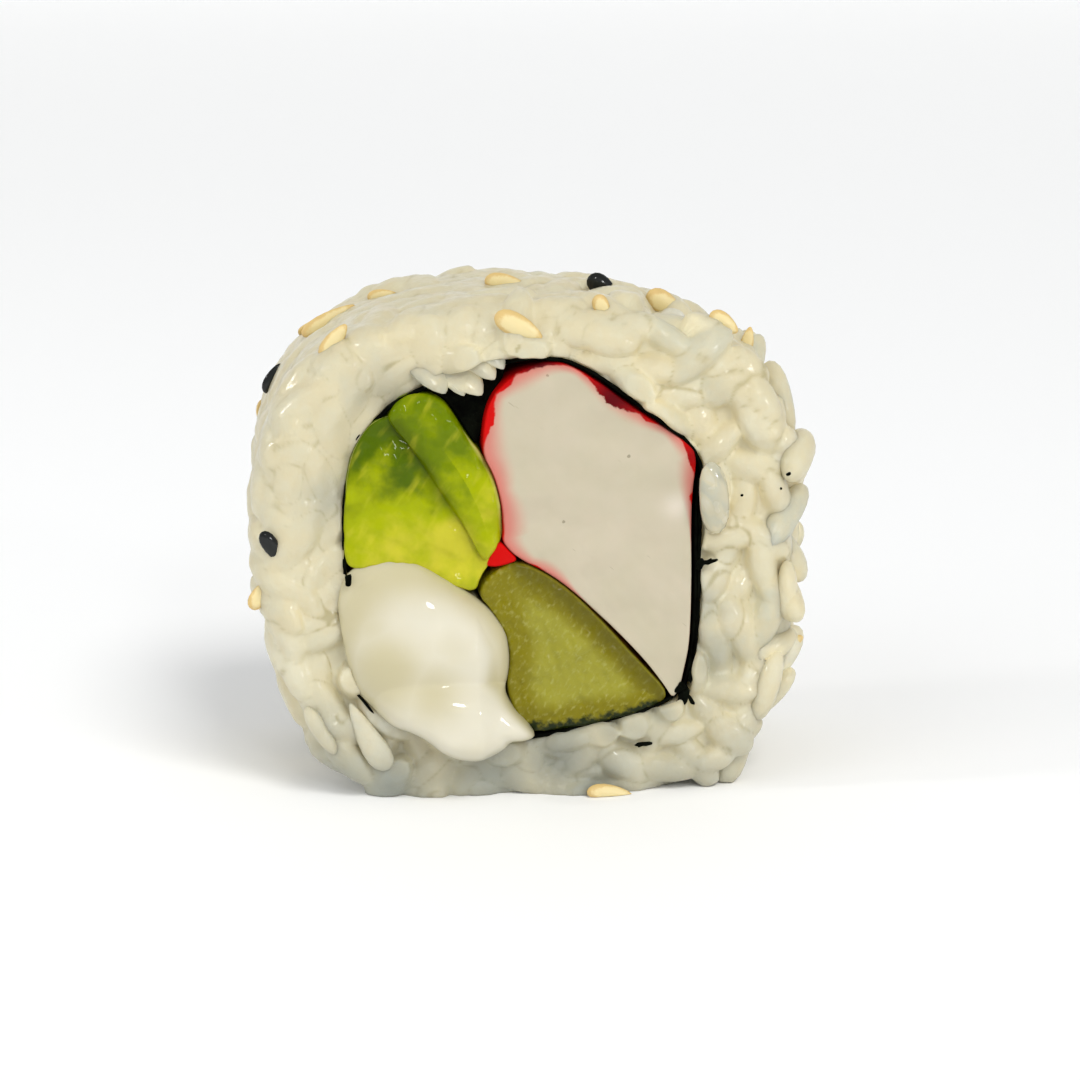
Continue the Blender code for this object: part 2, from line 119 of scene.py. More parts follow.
# Lines along which two fillings meet.
AVOCADO_SEAM = [(-11.9, 31.5), (-9.7, 28.9), (-8.0, 26.0), (-6.7, 24.1), (-5.4, 22.2), (-4.2, 19.6)]
AVOCADO_TO_STICK = [(-4.3, 28.6), (-3.4, 27.0), (-2.8, 24.7), (-2.6, 22.5), (-2.8, 21.4)]
AVOCADO_TO_CREAM = [
    (-15.1, 19.3), (-12.9, 19.6), (-10.6, 19.8), (-8.6, 18.5), (-6.3, 17.7), (-4.8, 17.2),
]
CREAM_TO_CUCUMBER = [
    (-4.8, 17.2), (-3.6, 15.8), (-2.4, 13.8), (-2.0, 11.7), (-2.4, 9.2), (-1.7, 7.1), (-0.6, 5.2),
]
STICK_TO_CUCUMBER = [(-1.5, 20.0), (1.5, 18.5), (4.6, 15.8)]

# The fillings' own outlines, from the lines above and their free sides.
STICK_OUTLINE = AVOCADO_TO_STICK + STICK_TO_CUCUMBER + [
    (8.6, 11.8), (10.7, 9.0), (11.4, 7.8), (12.1, 8.7), (12.5, 10.6), (12.9, 13.0), (13.0, 16.6),
    (12.9, 24.9), (13.4, 28.3), (12.6, 29.4), (8.7, 32.0), (4.8, 34.9), (1.9, 36.45), (-0.2, 36.1),
    (-2.3, 34.9), (-3.8, 33.1), (-4.3, 30.8),
]
AVOCADO_RIGHT_OUTLINE = AVOCADO_SEAM[::-1] + [
    (-11.7, 32.3), (-10.8, 33.4), (-9.4, 33.7), (-8.0, 33.5), (-7.0, 32.6), (-5.4, 29.9),
] + AVOCADO_TO_STICK + [(-3.6, 20.2)]
AVOCADO_LEFT_OUTLINE = AVOCADO_TO_CREAM + [(-4.4, 18.6)] + [
    (x + SEAM_OVERLAP, z + 0.6 * SEAM_OVERLAP) for x, z in AVOCADO_SEAM[::-1]
] + [
    (-12.7, 31.7), (-13.9, 30.5), (-15.0, 28.3), (-15.5, 24.0), (-15.5, 20.6),
]
CUCUMBER_OUTLINE = CREAM_TO_CUCUMBER + [
    (3.1, 5.6), (6.0, 6.1), (9.4, 7.0), (11.5, 8.2), (8.5, 11.4),
] + STICK_TO_CUCUMBER[::-1] + [(-3.4, 19.0)]
CREAM_OUTLINE = CREAM_TO_CUCUMBER[::-1] + AVOCADO_TO_CREAM[-2::-1] + [
    (-15.1, 15.2), (-14.7, 10.4), (-12.6, 7.3), (-8.8, 5.6), (-4.6, 4.9),
]
# The cream's outline where it swells out of the front, over its neighbours and the rice.
CREAM_BLOB = [
    (0.2, 5.2), (-0.7, 6.4), (-1.8, 7.6), (-2.5, 9.0), (-2.2, 10.0), (-2.0, 11.6), (-2.2, 13.6),
    (-2.9, 15.0), (-4.0, 16.2), (-5.2, 17.1), (-6.75, 18.1), (-8.3, 19.0), (-9.8, 19.9),
    (-12.8, 20.1), (-15.3, 19.3), (-16.1, 17.0), (-16.0, 15.1), (-15.4, 12.0), (-15.0, 9.8),
    (-14.1, 8.7), (-12.8, 7.3), (-11.9, 6.4), (-10.0, 5.8), (-8.9, 5.2), (-7.8, 4.2), (-6.5, 3.5),
    (-4.7, 3.3), (-3.3, 3.7), (-2.5, 4.2), (-2.0, 4.9), (-0.8, 4.8),
]
# The fold of nori in the dark gap between the stick, the avocado and the nori above them.
FOLD_OUTLINE = [
    (-9.0, 34.0), (-7.4, 33.2), (-6.6, 32.3), (-5.2, 30.0), (-4.6, 29.2), (-4.1, 31.2),
    (-3.6, 33.3), (-2.2, 35.1), (-2.6, 36.0), (-5.0, 35.6),
]

# The scrap of red skin between the avocado, the stick and the cucumber.
SCRAP_OUTLINE = [
    (-4.1, 19.5), (-3.3, 19.35), (-2.2, 19.6), (-1.3, 19.9), (-2.1, 20.7), (-2.9, 21.6),
    (-3.5, 20.7),
]


def srgb(red: int, green: int, blue: int) -> Colour:
    """The linear colour of a screen colour given in 0 to 255."""
    shares = [channel / 255 for channel in (red, green, blue)]
    return tuple(s / 12.92 if s <= 0.04045 else ((s + 0.055) / 1.055) ** 2.4 for s in shares)


def soften(points: Array, passes: int) -> Array:
    """Rounds the corners of a closed outline, cutting each at a quarter of its sides.

    Args:
        points: The outline's corners, one (x, z) a row.
        passes: How often every corner is cut.

    Returns:
        The rounded outline.
    """
    line = np.array(points, float)
    for _ in range(passes):
        following = np.roll(line, -1, axis=0)
        pairs = np.stack([0.75 * line + 0.25 * following, 0.25 * line + 0.75 * following], axis=1)
        line = pairs.reshape(-1, 2)
    return line


def spread(points: Array, count: int) -> Array:
    """The closed outline as count points, evenly spaced along it.

    Args:
        points: The outline.
        count: How many points it gets.

    Returns:
        The evenly spaced outline.
    """
    closed = np.vstack([points, points[:1]])
    along = np.concatenate([[0.0], np.cumsum(np.linalg.norm(np.diff(closed, axis=0), axis=1))])
    wanted = np.linspace(0.0, along[-1], count, endpoint=False)
    return np.column_stack([np.interp(wanted, along, closed[:, axis]) for axis in (0, 1)])


def outward_normals(points: Array) -> Array:
    """A unit normal for each point of a closed outline, pointing away from its inside.

    Args:
        points: The outline, either way round.

    Returns:
        One normal for each point.
    """
    tangent = np.roll(points, -1, axis=0) - np.roll(points, 1, axis=0)
    normal = unit(np.column_stack([tangent[:, 1], -tangent[:, 0]]))
    following = np.roll(points, -1, axis=0)
    signed_area = np.sum(points[:, 0] * following[:, 1] - following[:, 0] * points[:, 1])
    return normal * np.sign(signed_area)


def drawn_round(points: list, count: int, inset: float = 0.0) -> Array:
    """The control points as a rounded outline of count points, moved inwards by inset."""
    line = spread(soften(points, 2), count)
    return line - outward_normals(line) * inset


def polar_reach(line: Array, centre: Array, angles: Array) -> Array:
    """How far a closed outline lies from a point inside it, in each of the directions.

    Args:
        line: The outline.
        centre: A point that sees all of the outline.
        angles: The directions, in radians from +X towards +Z.

    Returns:
        One distance for each direction.
    """
    away = line - centre
    turn = np.arctan2(away[:, 1], away[:, 0])
    order = np.argsort(turn)
    return np.interp(angles, turn[order], np.linalg.norm(away, axis=1)[order], period=2 * np.pi)


def waves(points: Array, length: float, seed: int, count: int = 14) -> Array:
    """Smooth noise of about unit size: the sum of plane waves with random courses and phases.

    Args:
        points: Where it is read, with the coordinates on the last axis.
        length: The typical length of a wave, in the points' unit.
        seed: Starts the random draw.
        count: How many waves are added up.

    Returns:
        The noise, in the points' shape without its last axis.
    """
    dice = np.random.default_rng(seed)
    course = unit(dice.normal(size=(count, points.shape[-1])))
    course *= (2 * np.pi / length) * dice.uniform(0.6, 1.7, (count, 1))
    phases = dice.uniform(0.0, 2 * np.pi, count)
    return np.sin(points @ course.T + phases).sum(-1) / math.sqrt(count / 2)


def smooth_step(value: Array, low: float, high: float) -> Array:
    """0 below low, 1 above high, and an S curve between them."""
    share = np.clip((value - low) / (high - low), 0.0, 1.0)
    return share * share * (3 - 2 * share)


def smooth_max(first: Array, second: Array, blend: float) -> Array:
    """The larger of two heights, with the crease between them rounded over about blend."""
    return blend * np.logaddexp(first / blend, second / blend)


def unit(vectors: Array) -> Array:
    """The vectors on the last axis, each at length 1."""
    return vectors / np.maximum(np.linalg.norm(vectors, axis=-1, keepdims=True), 1e-9)


def grid_quads(rows: int, columns: int, ring_rows: bool, ring_columns: bool) -> Array:
    """The quads of a grid whose point (row, column) has the number row * columns + column.

    Args:
        rows: How many rows of points there are.
        columns: How many points a row has.
        ring_rows: Whether the last row meets the first.
        ring_columns: Whether the last column meets the first.

    Returns:
        Four point numbers for each quad.
    """
    row, column = np.indices((rows - (not ring_rows), columns - (not ring_columns)))
    below, beside = (row + 1) % rows, (column + 1) % columns
    corners = [(row, column), (below, column), (below, beside), (row, beside)]
    return np.stack([down * columns + over for down, over in corners], -1).reshape(-1, 4)


def capped_tube(rows: int, columns: int) -> tuple[Array, Array]:
    """The faces of a tube of rows of points, closed by a pole at each end.

    Args:
        rows: How many rings of points there are; the poles follow them in the list of points.
        columns: How many points a ring has.

    Returns:
        The quads and the triangles, all turned the same way.
    """
    ring = np.arange(columns)
    beside = np.roll(ring, -1)
    last = (rows - 1) * columns
    near = np.column_stack([ring, beside, np.full(columns, rows * columns)])
    far = np.column_stack([last + beside, last + ring, np.full(columns, rows * columns + 1)])
    return grid_quads(rows, columns, False, True), np.vstack([near, far])


def enclosed(points: Array, quads: Array, triangles: Array) -> float:
    """Six times the volume inside a closed surface: the sum of a . (b x c) over its triangles.

    Args:
        points: The vertices.
        quads: Four vertex numbers a row.
        triangles: Three vertex numbers a row.

    Returns:
        The sum, which is negative where the faces point inwards.
    """
    halves = np.vstack([quads[:, [0, 1, 2]], quads[:, [0, 2, 3]], triangles])
    a, b, c = (points[halves[:, corner]] for corner in range(3))
    return float(np.einsum("ij,ij->", a, np.cross(b, c)))


def make_mesh(name: str, points: Array, quads: Array, triangles: Array, values: Values) -> Mesh:
    """A smooth shaded mesh from arrays, with its faces turned outwards.

    Args:
        name: The mesh's name.
        points: The vertices, in millimetres.
        quads: Four vertex numbers a row.
        triangles: Three vertex numbers a row.
        values: One number for each vertex, under the name that the materials read.

    Returns:
        The mesh, in metres.
    """
    if enclosed(points - points.mean(axis=0), quads, triangles) < 0:
        quads, triangles = quads[:, ::-1], triangles[:, ::-1]
    mesh = bpy.data.meshes.new(name)
    corners = np.concatenate([quads.ravel(), triangles.ravel()]).astype(np.int32)
    sizes = np.repeat([4, 3], [len(quads), len(triangles)])
    mesh.vertices.add(len(points))
    mesh.vertices.foreach_set("co", (points * MM).astype(np.float32).ravel())
    mesh.loops.add(len(corners))
    mesh.loops.foreach_set("vertex_index", corners)
    mesh.polygons.add(len(sizes))
    mesh.polygons.foreach_set("loop_start", (np.cumsum(sizes) - sizes).astype(np.int32))
    mesh.polygons.foreach_set("use_smooth", np.ones(len(sizes), bool))
    for key, value in values.items():
        numbers = mesh.attributes.new(key, "FLOAT", "POINT")
        numbers.data.foreach_set("value", value.astype(np.float32))
    mesh.update(calc_edges=True)
    mesh.validate()
    return mesh


NO_TRIANGLES = np.zeros((0, 3), int)


def make_piece(mesh: Mesh, material: Material, slot: str, *nodes: str) -> bpy.types.Object:
    """Puts a mesh into the scene as a piece that rides on the roll's one body.

    Args:
        mesh: The finished mesh, whose name the piece takes.
        material: Its finish.
        slot: The record's material slot for the piece; not used.
        nodes: The solids that it replaces.

    Returns:
        The piece.
    """
    piece = bpy.data.objects.new(mesh.name, mesh)
    bpy.context.scene.collection.objects.link(piece)
    mesh.materials.append(material)
    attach(piece, BODY)
    if nodes:
        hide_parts(*nodes)
    log.info("%s: %d faces", piece.name, len(mesh.polygons))
    return piece


class NodeSheet:
    """Adds the nodes of one material or node group, with short calls."""

    # The numbers of the colour sockets of the mix node, whose other sockets share their names.
    MIX_INPUTS = (0, 6, 7)
    MIX_RESULT = 2

    def __init__(self, tree: bpy.types.NodeTree) -> None:
        """Keeps the node tree that the calls add to."""
        self.tree = tree

    def put(self, socket: Socket, value: object) -> None:
        """Links another node's output to a socket, or sets the socket's own value.

        Args:
            socket: The input socket.
            value: The other node's output, a number, a vector or a colour.
        """
        if isinstance(value, Socket):
            self.tree.links.new(value, socket)
        elif isinstance(value, tuple) and socket.type == "RGBA":
            socket.default_value = (*value, 1.0)
        else:
            socket.default_value = value

    def node(self, kind: str, inputs: dict, **settings: object) -> Node:
        """Adds a node.

        Args:
            kind: Blender's name of the node type.
            inputs: Values or outputs for its inputs, by name or number.
            settings: The node's own settings.

        Returns:
            The node.
        """
        made = self.tree.nodes.new(kind)
        for key, value in settings.items():
            setattr(made, key, value)
        for key, value in inputs.items():
            self.put(made.inputs[key], value)
        return made

    def place(self) -> Socket:
        """The point on the piece, in the object's own coordinates."""
        return self.node("ShaderNodeTexCoord", {}).outputs["Object"]

    def value(self, name: str) -> Socket:
        """The number that the mesh holds for each vertex under that name."""
        return self.node("ShaderNodeAttribute", {}, attribute_name=name).outputs["Fac"]

    def noise(self, scale: float, detail: float, place: object = None) -> Socket:
        """Cloudy noise with that many patches to a metre."""
        inputs = {"Vector": place or self.place(), "Scale": scale, "Detail": detail}
        return self.node("ShaderNodeTexNoise", inputs).outputs["Fac"]

    def stretched(self, scale: Colour, turn: float = 0.0) -> Socket:
        """The place, turned about Y by turn and scaled unevenly, for streaks."""
        inputs = {"Vector": self.place(), "Rotation": (0.0, turn, 0.0), "Scale": scale}
        return self.node("ShaderNodeMapping", inputs, vector_type="TEXTURE").outputs[0]

    def sum(self, operation: str, first: object, second: object = 0.0) -> Socket:
        """One sum on two numbers, such as ADD or MULTIPLY."""
        return self.node("ShaderNodeMath", {0: first, 1: second}, operation=operation).outputs[0]

    def step(self, value: object, low: object, high: object) -> Socket:
        """0 where value is low, 1 where it is high, and an S curve between them."""
        inputs = {"Value": value, "From Min": low, "From Max": high}
        return self.node("ShaderNodeMapRange", inputs, interpolation_type="SMOOTHSTEP").outputs[0]

    def mix(self, share: object, first: object, second: object) -> Socket:
        """The first colour, with that share of the second."""
        inputs = dict(zip(self.MIX_INPUTS, (share, first, second)))
        return self.node("ShaderNodeMix", inputs, data_type="RGBA").outputs[self.MIX_RESULT]

    def over(self, colour: Socket, paint: Colour, mask: Socket, share: float) -> Socket:
        """The colour with paint over it, where the mask is, by that share."""
        return self.mix(self.sum("MULTIPLY", mask, share), colour, paint)

    def weighed(self, first: Socket, second: Socket, share: float) -> Socket:
        """Two numbers added up, with that share of the second and the rest of the first."""
        rest = self.sum("MULTIPLY", first, 1.0 - share)
        return self.sum("ADD", rest, self.sum("MULTIPLY", second, share))

    def wavering(self, value: object, noise: Socket, amount: float) -> Socket:
        """The value plus amount times (noise - 1/2)."""
        offset = self.sum("MULTIPLY", self.sum("SUBTRACT", noise, 0.5), amount)
        return self.sum("ADD", value, offset)

    def group(self, name: str, inputs: dict) -> Node:
        """A node group of that name, with values or outputs for its inputs."""
        return self.node("ShaderNodeGroup", inputs, node_tree=bpy.data.node_groups[name])

    def mottle(self, scale: float, contrast: float) -> Socket:
        """The mask of the group Mottle, with that many patches to a metre."""
        return self.group("Mottle", {"Scale": scale, "Contrast": contrast}).outputs["Mask"]

    def bump(self, height: object, strength: float, depth: float) -> Socket:
        """The surface's normal, tilted by a relief that is depth millimetres deep."""
        inputs = {"Height": height, "Strength": strength, "Distance": depth * MM}
        return self.node("ShaderNodeBump", inputs).outputs[0]


def make_group(name: str, inputs: dict[str, float],
               outputs: list[str]) -> tuple[NodeSheet, Node, Node]:
    """Starts a node group of numbers.

    Args:
        name: The group's name.
        inputs: The named inputs and their usual values.
        outputs: The named outputs.

    Returns:
        The group's node sheet, its input node and its output node.
    """
    tree = bpy.data.node_groups.new(name, "ShaderNodeTree")
    for key, usual in inputs.items():
        socket = tree.interface.new_socket(key, in_out="INPUT", socket_type="NodeSocketFloat")
        socket.default_value = usual
    for key in outputs:
        tree.interface.new_socket(key, in_out="OUTPUT", socket_type="NodeSocketFloat")
    sheet = NodeSheet(tree)
    return sheet, sheet.node("NodeGroupInput", {}), sheet.node("NodeGroupOutput", {})


def make_mottle() -> None:
    """The group Mottle: patches of two sizes, as a mask from 0 to 1 that varies a colour.

    The fine patches are 4.3 times as many to a metre, and make up 0.35 of the mask.
    """
    sheet, given, result = make_group("Mottle", {"Scale": 400.0, "Contrast": 0.3}, ["Mask"])
    large = sheet.noise(given.outputs["Scale"], 2.0)
    fine = sheet.noise(sheet.sum("MULTIPLY", given.outputs["Scale"], 4.3), 3.0)
    low = sheet.sum("SUBTRACT", 0.5, given.outputs["Contrast"])
    high = sheet.sum("ADD", 0.5, given.outputs["Contrast"])
    sheet.put(result.inputs["Mask"], sheet.step(sheet.weighed(large, fine, 0.35), low, high))


def make_moisture() -> None:
    """The group Moisture: a wet film of uneven thickness.

    Its roughness is wettest + share (driest - wettest), where share is the noise of the film. Its
    height, for a bump, is that noise with 0.4 of a grit 3.1 times as fine.
    """
    usual = {"Scale": 900.0, "Driest": 0.5, "Wettest": 0.2}
    sheet, given, result = make_group("Moisture", usual, ["Roughness", "Height"])
    film = sheet.noise(given.outputs["Scale"], 2.0)
    span = sheet.sum("SUBTRACT", given.outputs["Driest"], given.outputs["Wettest"])
    drier = sheet.sum("MULTIPLY", sheet.step(film, 0.35, 0.65), span)
    sheet.put(result.inputs["Roughness"], sheet.sum("ADD", given.outputs["Wettest"], drier))
    grit = sheet.noise(sheet.sum("MULTIPLY", given.outputs["Scale"], 3.1), 4.0)
    sheet.put(result.inputs["Height"], sheet.weighed(film, grit, 0.4))


@dataclass(frozen=True)
class Moist:
    """What all moist foods share: how wet they look and how deep light goes into them."""

    # Roughness of the driest and the wettest patches, and how many there are to a metre.
    driest: float
    wettest: float
    film: float

    # Weight and roughness of the clear wet film.
    coat: float
    coat_roughness: float

    # The share of light that goes under the surface, and how far its red, green and blue
    # go there, in millimetres.
    glow: float
    reach: Colour

    # Depth of the fine relief in millimetres, and strength of the surface's reflection.
    relief: float
    shine: float = 0.5

    def start(self, name: str) -> tuple[NodeSheet, Node, Socket]:
        """Makes the material with all but its colour.

        Args:
            name: The material's name.

        Returns:
            Its node sheet, its shader, and the height of its fine relief.
        """
        material = bpy.data.materials.new(name)
        material.use_nodes = True
        sheet = NodeSheet(material.node_tree)
        shader = material.node_tree.nodes["Principled BSDF"]
        film = {"Scale": self.film, "Driest": self.driest, "Wettest": self.wettest}
        moisture = sheet.group("Moisture", film)
        sheet.put(shader.inputs["Roughness"], moisture.outputs["Roughness"])
        shader.subsurface_method = "BURLEY"
        fixed = {
            "Coat Weight": self.coat, "Coat Roughness": self.coat_roughness,
            "Subsurface Weight": self.glow, "Subsurface Radius": self.reach, "Subsurface Scale": MM,
            "Specular IOR Level": self.shine,
        }
        for key, value in fixed.items():
            shader.inputs[key].default_value = value
        return sheet, shader, moisture.outputs["Height"]


class Finish:
    """The finish of one food: its material's name, how moist it is, and a colour that it paints."""

    name: str
    moist: Moist

    def paint(self, sheet: NodeSheet) -> tuple[Socket, object]:
        """The colour, and a height that is added to the fine relief."""
        raise NotImplementedError

    def material(self) -> Material:
        """Builds the material.

        Returns:
            The material, under the finish's name.
        """
        sheet, shader, height = self.moist.start(self.name)
        colour, relief = self.paint(sheet)
        normal = sheet.bump(sheet.sum("ADD", height, relief), 1.0, self.moist.relief)
        sheet.put(shader.inputs["Base Color"], colour)
        sheet.put(shader.inputs["Normal"], normal)
        return bpy.data.materials[self.name]


@dataclass(frozen=True)
class RiceFinish(Finish):
    """Cooked rice: ivory to white by grain, glassy in places, greyer where shade is painted."""

    name: str = "cooked rice"
    glassy: Colour = srgb(185, 184, 164)
    ivory: Colour = srgb(203, 196, 167)
    white: Colour = srgb(209, 205, 183)
    warm: Colour = srgb(204, 189, 148)
    crease: Colour = srgb(158, 146, 100)
    damp: Colour = srgb(104, 114, 114)
    moist: Moist = Moist(0.55, 0.34, 900.0, 0.28, 0.1, 0.85, (1.5, 1.3, 0.9), 0.14)

    def paint(self, sheet: NodeSheet) -> tuple[Socket, object]:
        """Colours each vertex by tone, crease tan and shade, and grey that is mostly painted shade.

        Args:
            sheet: The material's node sheet.

        Returns:
            The colour, and no further height.
        """
        tone = sheet.value("tone")
        colour = sheet.mix(sheet.step(tone, 0.0, 0.5), self.glassy, self.ivory)
        colour = sheet.mix(sheet.step(tone, 0.5, 1.0), colour, self.white)
        colour = sheet.over(colour, self.warm, sheet.mottle(300.0, 0.14), 0.45)
        # Between grains the rice is tan, with painted shade in the creases.
        colour = sheet.over(colour, self.crease, sheet.step(sheet.value("crease"), 0.0, 0.7), 0.7)
        # The grey mix: painted shade low down and by the nori, and the grey of glassy and hanging
        # grains.
        return sheet.mix(sheet.value("damp"), colour, self.damp), 0.0


@dataclass(frozen=True)
class NoriFinish(Finish):
    """Moist black seaweed, a little green where it is thin."""

    name: str = "moist nori"
    black: Colour = (0.0012, 0.0012, 0.001)
    green: Colour = (0.004, 0.005, 0.003)
    moist: Moist = Moist(0.7, 0.45, 1500.0, 0.0, 0.2, 0.0, (1.0, 1.0, 1.0), 0.08, 0.01)

    def paint(self, sheet: NodeSheet) -> tuple[Socket, object]:
        """Colours the nori in patches."""
        return sheet.mix(sheet.mottle(900.0, 0.2), self.black, self.green), 0.0


@dataclass(frozen=True)
class StickFinish(Finish):
    """White fish paste, pink towards its rim, with what is left of its red skin."""

    name: str = "crab stick"
    white: Colour = srgb(193, 183, 162)
    shade: Colour = srgb(186, 178, 154)
    pink: Colour = srgb(198, 112, 102)
    red: Colour = srgb(196, 6, 4)
    shaded_crimson: Colour = srgb(84, 0, 8)
    speck: Colour = srgb(120, 112, 92)
    patch: Colour = srgb(212, 203, 188)
    moist: Moist = Moist(0.6, 0.45, 500.0, 0.02, 0.25, 0.15, (0.8, 0.4, 0.3), 0.02, 0.1)

    def paint(self, sheet: NodeSheet) -> tuple[Socket, object]:
        """Colours the paste, with dots and scratches, then its rim by the width of skin there.

        Args:
            sheet: The material's node sheet.

        Returns:
            The colour, and no further height.
        """
        rim = sheet.value("rim")
        colour = sheet.mix(sheet.mottle(160.0, 0.25), self.white, self.shade)
        dots = sheet.step(sheet.noise(1500.0, 0.0), 0.815, 0.84)
        colour = sheet.over(colour, self.speck, dots, 0.6)
        scratches = sheet.noise(1.0, 1.0, sheet.stretched((0.0002, 0.01, 0.0016), -0.9))
        colour = sheet.over(colour, self.speck, sheet.step(scratches, 0.76, 0.82), 0.35)
        colour = sheet.over(colour, self.patch, sheet.value("patch"), 0.8)
        glow = sheet.step(rim, sheet.sum("ADD", sheet.value("tint"), 0.05), 0.0)
        colour = sheet.over(colour, self.pink, glow, 0.95)
        jagged = sheet.wavering(1.0, sheet.noise(1300.0, 3.0), 1.5)
        width = sheet.sum("MULTIPLY", sheet.value("skin"), jagged)
        # The skin is painted crimson where it lies in shade.
        red = sheet.mix(sheet.value("dark"), self.red, self.shaded_crimson)
        edge = sheet.step(sheet.sum("SUBTRACT", width, rim), -0.06, 0.1)
        return sheet.mix(edge, colour, red), 0.0


@dataclass(frozen=True)
class AvocadoFinish(Finish):
    """Ripe avocado: green by its skin side, yellow towards the cream, with fine bright fibres."""

    name: str
    green: Colour = srgb(74, 96, 0)
    ripe: Colour = srgb(154, 164, 2)
    pale: Colour = srgb(190, 184, 48)
    rim: Colour = srgb(200, 200, 110)
    seam_shade_green: Colour = srgb(62, 76, 0)
    fibre_turn: float = -1.0
    moist: Moist = Moist(0.5, 0.3, 600.0, 0.2, 0.08, 0.3, (0.9, 1.0, 0.25), 0.14, 0.02)

    def paint(self, sheet: NodeSheet) -> tuple[Socket, object]:
        """Colours the flesh by each vertex's ripeness, seam shade and distance to the rim.

        Args:
            sheet: The material's node sheet.

        Returns:
            The colour, and the height of the fibres.
        """
        ripeness = sheet.wavering(sheet.value("ripe"), sheet.noise(330.0, 8.0), 1.5)
        colour = sheet.mix(sheet.step(ripeness, 0.0, 0.6), self.green, self.ripe)
        colour = sheet.mix(sheet.step(ripeness, 0.6, 1.1), colour, self.pale)
        fibres = sheet.noise(1.0, 2.0, sheet.stretched((0.003, 0.01, 0.0009), self.fibre_turn))
        colour = sheet.over(colour, self.pale, sheet.step(fibres, 0.55, 0.75), 0.35)
        # Painted shade along the seam, where the right slice overlaps the left.
        colour = sheet.over(colour, self.seam_shade_green, sheet.value("seam"), 0.6)
        edge = sheet.step(sheet.value("rim"), sheet.value("pale_rim"), 0.0)
        return sheet.over(colour, self.rim, edge, 0.8), sheet.sum("MULTIPLY", fibres, 0.6)


@dataclass(frozen=True)
class CucumberFinish(Finish):
    """Cucumber flesh: olive, paler and speckled in the middle, dark green at its peel."""

    name: str = "cucumber flesh"
    olive: Colour = srgb(120, 112, 4)
    flesh: Colour = srgb(144, 140, 46)
    speck: Colour = srgb(178, 176, 104)
    brown: Colour = srgb(78, 72, 4)
    peel: Colour = srgb(26, 36, 4)
    moist: Moist = Moist(0.45, 0.26, 800.0, 0.15, 0.12, 0.35, (0.8, 0.9, 0.4), 0.05, 0.15)

    def paint(self, sheet: NodeSheet) -> tuple[Socket, object]:
        """Colours the flesh by each vertex's distance to the core, the rim and the peel.

        Args:
            sheet: The material's node sheet.

        Returns:
            The colour, and the height of the streaks.
        """
        core = sheet.wavering(sheet.value("core"), sheet.noise(350.0, 3.0), 0.8)
        colour = sheet.mix(sheet.step(core, 0.1, 0.9), self.olive, self.flesh)
        streaks = sheet.noise(1.0, 3.0, sheet.stretched((0.00035, 0.003, 0.0006), 0.6))
        colour = sheet.over(colour, self.speck, sheet.step(streaks, 0.5, 0.75), 0.4)
        rim = sheet.value("rim")
        colour = sheet.over(colour, self.brown, sheet.step(rim, 2.2, 0.4), 0.7)
        colour = sheet.over(colour, self.flesh, sheet.step(rim, 0.22, 0.1), 0.35)
        ragged = sheet.wavering(sheet.value("peel"), sheet.noise(1900.0, 6.0), 1.5)
        return sheet.mix(sheet.step(ragged, 0.4, 0.95), colour, self.peel), streaks


@dataclass(frozen=True)
class CreamFinish(Finish):
    """Glossy soft cream, a little yellower where it is thin and where shade is painted on it."""

    name: str = "soft cream"
    white: Colour = srgb(214, 209, 190)
    thin_and_shade_yellow: Colour = srgb(190, 181, 144)
    moist: Moist = Moist(0.5, 0.4, 120.0, 0.9, 0.05, 0.35, (1.6, 1.3, 0.8), 0.012, 0.35)

    def paint(self, sheet: NodeSheet) -> tuple[Socket, object]:
        """Colours the cream by how thin it is at each vertex and by the shade painted there.

        Args:
            sheet: The material's node sheet.

        Returns:
            The colour, and no further height.
        """
        patches = sheet.sum("MULTIPLY", sheet.mottle(90.0, 0.3), 0.2)
        thin = sheet.sum("ADD", sheet.value("thin"), patches)
        # The yellow stands for thin cream, and for painted shade.
        return sheet.mix(sheet.step(thin, 0.0, 1.1), self.white, self.thin_and_shade_yellow), 0.0


class SeedKind(Enum):
    """The two kinds of sesame seed."""

    TAN = "tan sesame"
    BLACK = "black sesame"


@dataclass(frozen=True)
class SeedFinish(Finish):
    """Sesame seeds: pale in the middle with a browner rim, or black."""

    kind: SeedKind
    middle: Colour
    rim: Colour
    moist: Moist

    @property
    def name(self) -> str:
        """The material's name."""
        return self.kind.value

    def paint(self, sheet: NodeSheet) -> tuple[Socket, object]:
        """Colours the seeds by how close each vertex is to their rim."""
        edge = sheet.wavering(sheet.value("edge"), sheet.mottle(1400.0, 0.3), 0.35)
        return sheet.mix(sheet.step(edge, 0.45, 0.85), self.middle, self.rim), 0.0


SEED_FINISHES = (
    SeedFinish(SeedKind.TAN, srgb(226, 208, 154), srgb(210, 180, 116),
               Moist(0.5, 0.3, 1800.0, 0.15, 0.2, 0.25, (0.6, 0.4, 0.2), 0.05)),
    SeedFinish(SeedKind.BLACK, (0.006, 0.008, 0.007), (0.004, 0.005, 0.004),
               Moist(0.45, 0.3, 1800.0, 0.6, 0.1, 0.0, (1.0, 1.0, 1.0), 0.03, 0.1)),
)


@dataclass(frozen=True)
class Spot:
    """A round place on the cut face that fades out, in millimetres."""

    # Its middle, how far it reaches, and how strong it is in its middle.
    x: float
    z: float
    reach: float
    size: float

    def strength(self, x: Array, z: Array) -> Array:
        """size times exp(-(distance / reach) squared), at each point."""
        return self.size * np.exp(-((x - self.x) ** 2 + (z - self.z) ** 2) / self.reach ** 2)


def strongest(spots: list[Spot], x: Array, z: Array) -> Array:
    """The strength of the strongest spot at each point."""
    return np.max([spot.strength(x, z) for spot in spots], axis=0)
